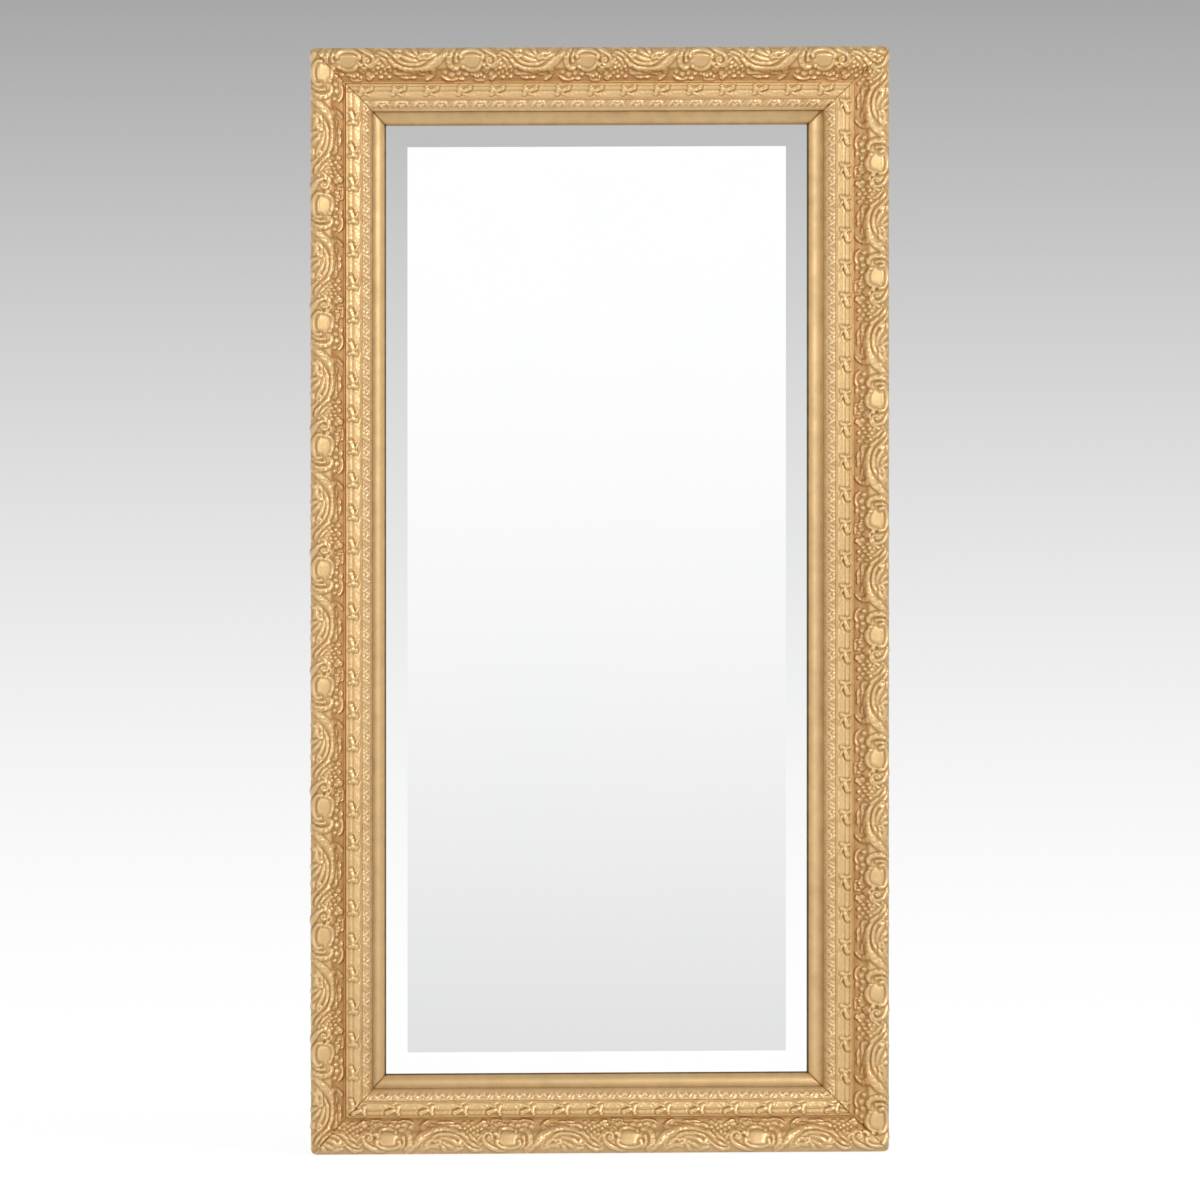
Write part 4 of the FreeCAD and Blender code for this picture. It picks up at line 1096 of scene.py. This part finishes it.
def metal(name, clean, tarnish, age):
    """Brass or steel fitting: clean metal, clouded by tarnish as far as its age."""
    made, tree, shader = surface(name, 1.0)
    finish = add(tree, "ShaderNodeGroup", node_tree=SCUFFS)
    for key, value in (("Clean", clean), ("Tarnish", tarnish), ("Age", age)):
        finish.inputs[key].default_value = value
    join_finish(tree, shader, finish, 0.08, 0.0002)
    return made


def silvered_glass():
    """Mirror plate: a bright silver with a breath of haze."""
    made, tree, shader = surface("silvered_glass", 1.0)
    place = object_place(tree)
    haze = noise(tree, place, 7.0, 3.0)
    tint = mixed(tree, spread(tree, haze, 0.3, 0.7), (0.998, 1.0, 1.0, 1.0), (0.99, 0.996, 0.996, 1.0))
    tree.links.new(tint, shader.inputs["Base Color"])
    tree.links.new(spread(tree, haze, 0.3, 0.7, 0.0, 0.004), shader.inputs["Roughness"])
    return made


def pressed_card():
    """Brown backing card with pressed fibres."""
    made, tree, shader = surface("pressed_card")
    place = object_place(tree)
    fibre = noise(tree, place, 420.0, 4.0, 0.6)
    tree.links.new(mixed(tree, fibre, srgb(150, 124, 94), srgb(118, 94, 68)), shader.inputs["Base Color"])
    tree.links.new(spread(tree, fibre, 0.2, 0.8, 0.8, 0.95), shader.inputs["Roughness"])
    return made


def pad_rubber():
    """Black bumper rubber with a dusty bloom."""
    made, tree, shader = surface("pad_rubber")
    place = object_place(tree)
    bloom = noise(tree, place, 300.0, 4.0, 0.6)
    tree.links.new(mixed(tree, bloom, srgb(38, 37, 36), srgb(66, 64, 61)), shader.inputs["Base Color"])
    tree.links.new(spread(tree, bloom, 0.3, 0.7, 0.6, 0.85), shader.inputs["Roughness"])
    return made


def dress(material, *names):
    """The material, on each named CAD node."""
    for name in names:
        mesh = nodes[name].data
        mesh.materials.clear()
        mesh.materials.append(material)


# The object

LEAF_GOLD = srgb(243, 204, 147)
# Dark colour of the painted shade in low places, which also stands for a darker wash
SHADE_AND_TONING_GOLD = srgb(172, 123, 56)
# Light colour of the painted highlight on high places
HIGHLIGHT_GOLD = srgb(255, 230, 184)
LIP_LEAF_GOLD = srgb(250, 213, 160)
SLIP_LEAF_GOLD = srgb(238, 200, 144)
# Dark colour of the painted shade on the slip, for the lip's shadow and the sight edge
SLIP_SHADE_GOLD = srgb(112, 88, 52)

ornament_gold = gilt("ornament_gold", LEAF_GOLD, SHADE_AND_TONING_GOLD, HIGHLIGHT_GOLD, hollows=0.75, grit=0.25)
band_gold = gilt("band_gold", LEAF_GOLD, SHADE_AND_TONING_GOLD, HIGHLIGHT_GOLD, hollows=0.8, grit=0.25)
lip_gold = gilt("lip_gold", LIP_LEAF_GOLD, SHADE_AND_TONING_GOLD, HIGHLIGHT_GOLD, hollows=0.62, grit=0.25)
slip_gold = gilt("slip_gold", SLIP_LEAF_GOLD, SLIP_SHADE_GOLD, HIGHLIGHT_GOLD, hollows=0.9, grit=0.12)

ornament_relief = relief_of(ornament_tile(), ORNAMENT_SOFTNESS, even_repeat, 0.0, ORNAMENT_GROUND)
ribbon_relief = relief_of(ribbon_tile(), BAND_SOFTNESS, tied_repeat, V_ORNAMENT, RIBBON_GROUND)
leaf_relief = relief_of(leaf_tile(), BAND_SOFTNESS, leafy_repeat, V_RIBBON, LEAF_GROUND)

for side in SIDES:
    section = ornament_section()
    inward = LAID_IN[side]
    run = moulding(f"ornament_{side}", side, section, ORNAMENT_COLUMN, painted_hollow_shade, ornament_relief, inward)
    run.data.materials.append(ornament_gold)
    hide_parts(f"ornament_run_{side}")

    run = moulding(f"ribbon_{side}", side, ribbon_section(), BAND_COLUMN, painted_fillet_shade(side), ribbon_relief)
    run.data.materials.append(band_gold)
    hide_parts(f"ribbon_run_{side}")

    run = moulding(f"leaf_{side}", side, leaf_section(), BAND_COLUMN, painted_lip_shade(side), leaf_relief)
    run.data.materials.append(lip_gold)
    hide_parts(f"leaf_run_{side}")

    run = moulding(f"slip_gilt_{side}", side, slip_section(), SLIP_COLUMN, painted_slip_shade(side))
    run.data.materials.append(slip_gold)
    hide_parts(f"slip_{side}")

# Each back board's early and late wood, and where in the log it was cut
BOARDS = {
    "back_board_1": (srgb(190, 150, 101), srgb(138, 96, 56), 0.0),
    "back_board_2": (srgb(202, 166, 118), srgb(156, 114, 72), 0.37),
    "back_board_3": (srgb(182, 140, 92), srgb(128, 88, 51), 0.81),
}

dress(toned_pine("pine_up", lying=False), "rail_left", "rail_right")
dress(toned_pine("pine_lying", lying=True), "rail_top", "rail_bottom")
for name, (early, late, cut) in BOARDS.items():
    dress(wood(f"{name}_wood", early, late, cut), name)
dress(wood("block_wood", srgb(214, 182, 132), srgb(170, 128, 82)), "glazing_blocks")
dress(wood("spline_wood", srgb(150, 104, 66), srgb(104, 66, 38)), "mitre_splines")
dress(silvered_glass(), "mirror_plate")
dress(pressed_card(), "backing_sheet")
brass = metal("aged_brass", srgb(214, 176, 104), srgb(128, 92, 44), 0.7)
steel = metal("zinc_steel", srgb(196, 198, 200), srgb(128, 128, 126), 0.6)
dress(brass, *(name for name in nodes if name.startswith("turn_button_")))
dress(steel, "slip_brads", *(name for name in nodes if name.startswith("hanger_")))
dress(pad_rubber(), "wall_bumpers")


# Stage, light and camera

# Camera: its distance, its offsets as shares of that, its picture's width there, its sensor, aim and rows
CAMERA_DISTANCE = 60.0
CAMERA_ASIDE = -0.115
CAMERA_ABOVE = 0.04
FRAME_WIDTH = 1.5175
SENSOR = 36.0
AIM_ASIDE = -0.0018
AIM_ABOVE = 0.001
FRAME_ROWS = 1200

# Rises of the lines of sight that the plate's lowest and highest places send back
SEEN_HALF = 0.594
SIGHT_LENGTH = math.hypot(1.0, CAMERA_ASIDE, CAMERA_ABOVE)
RISE_LOW = (-CAMERA_ABOVE - SEEN_HALF / CAMERA_DISTANCE) / SIGHT_LENGTH
RISE_HIGH = (-CAMERA_ABOVE + SEEN_HALF / CAMERA_DISTANCE) / SIGHT_LENGTH

# Fades of the floor, the room and the card: how many grey levels each falls, by one law
FADE_TOP = 255.5
FADE_POWER = 1.65
FADE_STEPS = 10
FLOOR_WHITE_ROW = 1060
FLOOR_DROP = 88.0
FLOOR_FAR_ROW = -600
FLOOR_FAR_LEVEL = 120
ROOM_DROP = 64.0
CARD_DROP = 30.5
CARD_WHITE = 0.9

# Floor: its own grey, the brightness that the lamps give it, its reach, and the gap under the object
FLOOR_GREY = 0.22
FLOOR_LIT = 0.1767
FLOOR_REACH = 260.0
FLOOR_GAP = 0.0005

# Where the near room gives way to the far one, by rise and sideways, and where the card's edges fade
ROOM_RISE = (0.3, 0.5)
ROOM_BESIDE = (0.4, 0.7)
CARD_BESIDE = (0.085, 0.095)
CARD_OVER = (0.11, 0.13)

# Screen greys by the share of a range of rises: the far room, the camera's backdrop, and the sky
FAR_RANGE = (-1.5, 1.5)
FAR_GREYS = ((0.0, 228), (0.35, 230), (0.5, 224), (0.65, 200), (1.0, 182))
BACKDROP_RANGE = (-0.2, 0.6)
BACKDROP_GREYS = ((0.0, 168), (0.25, 160), (1.0, 196))
SKY_RANGE = (-1.0, 1.5)
SKY_GREYS = ((0.0, 150), (0.4, 170), (0.7, 205), (1.0, 225))
LEAST_LEVEL = 0.02

# Lamps: place, width, height and power
KEY_PLACE = (1.95, -3.2, 1.35)
KEY_SIZE = (1.4, 1.7)
KEY_POWER = 44.0
FILL_PLACE = (-1.9, -3.0, 0.7)
FILL_SIZE = (1.6, 2.2)
FILL_POWER = 17.0


def grey(level):
    """Linear grey from a 0 to 255 screen value."""
    return srgb(level, level, level)


def fading(drop, share):
    """Grey, from 0 to 255, that falls from white by a drop times the share of the way to a power."""
    return min(255.0, FADE_TOP - drop * share**FADE_POWER)


def ramp(tree, factor, stops):
    """Colours at places from 0 to 1, joined by straight lines."""
    made = add(tree, "ShaderNodeValToRGB", {"Fac": factor})
    band = made.color_ramp
    while len(band.elements) < len(stops):
        band.elements.new(0.5)
    for element, (place, color) in zip(band.elements, stops):
        element.position = place
        element.color = color
    return made.outputs["Color"]


def glow(level):
    """Grey that the floor gives off itself to reach a 0 to 255 screen value: its lit share is taken away."""
    left = max(grey(level)[0] - FLOOR_LIT, 0.0)
    return (left, left, left, 1.0)


def seen_row(row):
    """Share of the way from the camera to a floor point that lies behind the object, for one row of the
    picture. It grows evenly with the rise of the line of sight, so it is even in rows too."""
    rise = -CAMERA_ABOVE + (0.5 - row / FRAME_ROWS) * FRAME_WIDTH / CAMERA_DISTANCE
    height = CAMERA_ABOVE * CAMERA_DISTANCE + AIM_ABOVE - cad_low.z
    return min(max(1.0 + rise * CAMERA_DISTANCE / height, 0.0), 1.0)


def floor_fade():
    """Stops of the floor's fade: white up to one row of the picture, and greyer row by row above it."""
    stops = []
    for step in range(FADE_STEPS + 1):
        share = step / FADE_STEPS
        stops.append((seen_row(FLOOR_WHITE_ROW * (1 - share)), glow(fading(FLOOR_DROP, share))))
    stops.append((seen_row(FLOOR_FAR_ROW), glow(FLOOR_FAR_LEVEL)))
    return stops


def studio_floor():
    """Pale floor, lit for shadows, that gives the camera a fade to grey by y / (y + distance), for y behind
    the object."""
    mesh = bpy.data.meshes.new("studio_floor")
    low = cad_low.z - FLOOR_GAP
    r = FLOOR_REACH
    mesh.from_pydata([(-r, -r, low), (r, -r, low), (r, r, low), (-r, r, low)], [], [(0, 1, 2, 3)])
    floor = bpy.data.objects.new("studio_floor", mesh)
    bpy.context.scene.collection.objects.link(floor)
    made, tree, shader = surface("floor_pale")
    place = object_place(tree)
    parts = add(tree, "ShaderNodeSeparateXYZ", {"Vector": place})
    behind = maths(tree, "MAXIMUM", parts.outputs["Y"], 0.0)
    share = maths(tree, "DIVIDE", behind, maths(tree, "ADD", behind, CAMERA_DISTANCE))
    fade = ramp(tree, share, floor_fade())
    shader.inputs["Base Color"].default_value = (FLOOR_GREY, FLOOR_GREY, FLOOR_GREY, 1.0)
    shader.inputs["Roughness"].default_value = 0.9
    seen = tree.nodes.new("ShaderNodeLightPath").outputs["Is Camera Ray"]
    tree.links.new(fade, shader.inputs["Emission Color"])
    tree.links.new(seen, shader.inputs["Emission Strength"])
    mesh.materials.append(made)
    floor.visible_glossy = False


def greys_by(tree, value, span, greys):
    """Screen greys at shares of a span of values, joined by straight lines."""
    return ramp(tree, spread(tree, value, *span), [(share, grey(level)) for share, level in greys])


def studio_world():
    """Surroundings by direction: t is the rise over the larger level component. Lit rays see a soft sky, and
    glossy rays see a grey room over a white floor, with a tall white card straight in front of the plate."""
    world = bpy.data.worlds.new("studio")
    bpy.context.scene.world = world
    world.use_nodes = True
    tree = world.node_tree
    tree.nodes.clear()
    way = tree.nodes.new("ShaderNodeTexCoord").outputs["Generated"]
    parts = add(tree, "ShaderNodeSeparateXYZ", {"Vector": way})
    level_x = maths(tree, "ABSOLUTE", parts.outputs["X"])
    level_y = maths(tree, "ABSOLUTE", parts.outputs["Y"])
    level = maths(tree, "MAXIMUM", maths(tree, "MAXIMUM", level_x, level_y), LEAST_LEVEL)
    t = maths(tree, "DIVIDE", parts.outputs["Z"], level)
    aside = maths(tree, "DIVIDE", parts.outputs["X"], maths(tree, "MAXIMUM", level_y, LEAST_LEVEL))
    beside = maths(tree, "ABSOLUTE", maths(tree, "SUBTRACT", aside, -CAMERA_ASIDE))
    rise = spread(tree, parts.outputs["Z"], RISE_LOW, RISE_HIGH)
    steps = [step / FADE_STEPS for step in range(FADE_STEPS + 1)]
    near = ramp(tree, rise, [(up, grey(fading(ROOM_DROP, up))) for up in steps])
    far = greys_by(tree, t, FAR_RANGE, FAR_GREYS)
    steep = spread(tree, maths(tree, "ABSOLUTE", t), *ROOM_RISE)
    away = maths(tree, "MAXIMUM", steep, spread(tree, beside, *ROOM_BESIDE))
    room = mixed(tree, away, near, far)
    card = ramp(tree, rise, [(up, grey(fading(CARD_DROP, max(0.0, 1 - up / CARD_WHITE)))) for up in steps])
    ahead = maths(tree, "LESS_THAN", parts.outputs["Y"], 0.0)
    within = maths(tree, "MULTIPLY", spread(tree, beside, *CARD_BESIDE, 1.0, 0.0), ahead)
    over = maths(tree, "ABSOLUTE", maths(tree, "SUBTRACT", t, -CAMERA_ABOVE))
    within = maths(tree, "MULTIPLY", within, spread(tree, over, *CARD_OVER, 1.0, 0.0))
    shown = mixed(tree, within, room, card)
    backdrop = greys_by(tree, t, BACKDROP_RANGE, BACKDROP_GREYS)
    sky = greys_by(tree, t, SKY_RANGE, SKY_GREYS)
    path = tree.nodes.new("ShaderNodeLightPath")
    shiny = maths(tree, "MAXIMUM", path.outputs["Is Glossy Ray"], path.outputs["Is Transmission Ray"])
    color = mixed(tree, shiny, sky, shown)
    color = mixed(tree, path.outputs["Is Camera Ray"], color, backdrop)
    shade = add(tree, "ShaderNodeBackground", {"Color": color, "Strength": 1.0})
    out = add(tree, "ShaderNodeOutputWorld", {"Surface": shade.outputs[0]})
    out.is_active_output = True


def soft_box(name, place, size, power):
    """Rectangular lamp at a place, turned to face the object's middle."""
    data = bpy.data.lights.new(name, "AREA")
    data.shape = "RECTANGLE"
    data.size, data.size_y = size
    data.energy = power
    lamp = bpy.data.objects.new(name, data)
    bpy.context.scene.collection.objects.link(lamp)
    lamp.location = place
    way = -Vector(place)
    lamp.rotation_euler = way.to_track_quat("-Z", "Y").to_euler()
    lamp.visible_camera = False


def photo_camera():
    """Long lens, a little left of and above the plate's middle, turned towards it."""
    data = bpy.data.cameras.new("photo_camera")
    data.sensor_width = SENSOR
    camera = bpy.data.objects.new("photo_camera", data)
    bpy.context.scene.collection.objects.link(camera)
    bpy.context.scene.camera = camera
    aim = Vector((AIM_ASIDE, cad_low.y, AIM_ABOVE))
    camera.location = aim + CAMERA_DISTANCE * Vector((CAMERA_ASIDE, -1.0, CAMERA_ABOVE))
    way = aim - camera.location
    camera.rotation_euler = way.to_track_quat("-Z", "Y").to_euler()
    data.lens = SENSOR * way.length / FRAME_WIDTH
    data.clip_start = 0.1
    data.clip_end = 1000.0


studio_floor()
studio_world()
soft_box("key_box", KEY_PLACE, KEY_SIZE, KEY_POWER)
soft_box("fill_box", FILL_PLACE, FILL_SIZE, FILL_POWER)
photo_camera()
bpy.context.scene.view_settings.view_transform = "Standard"
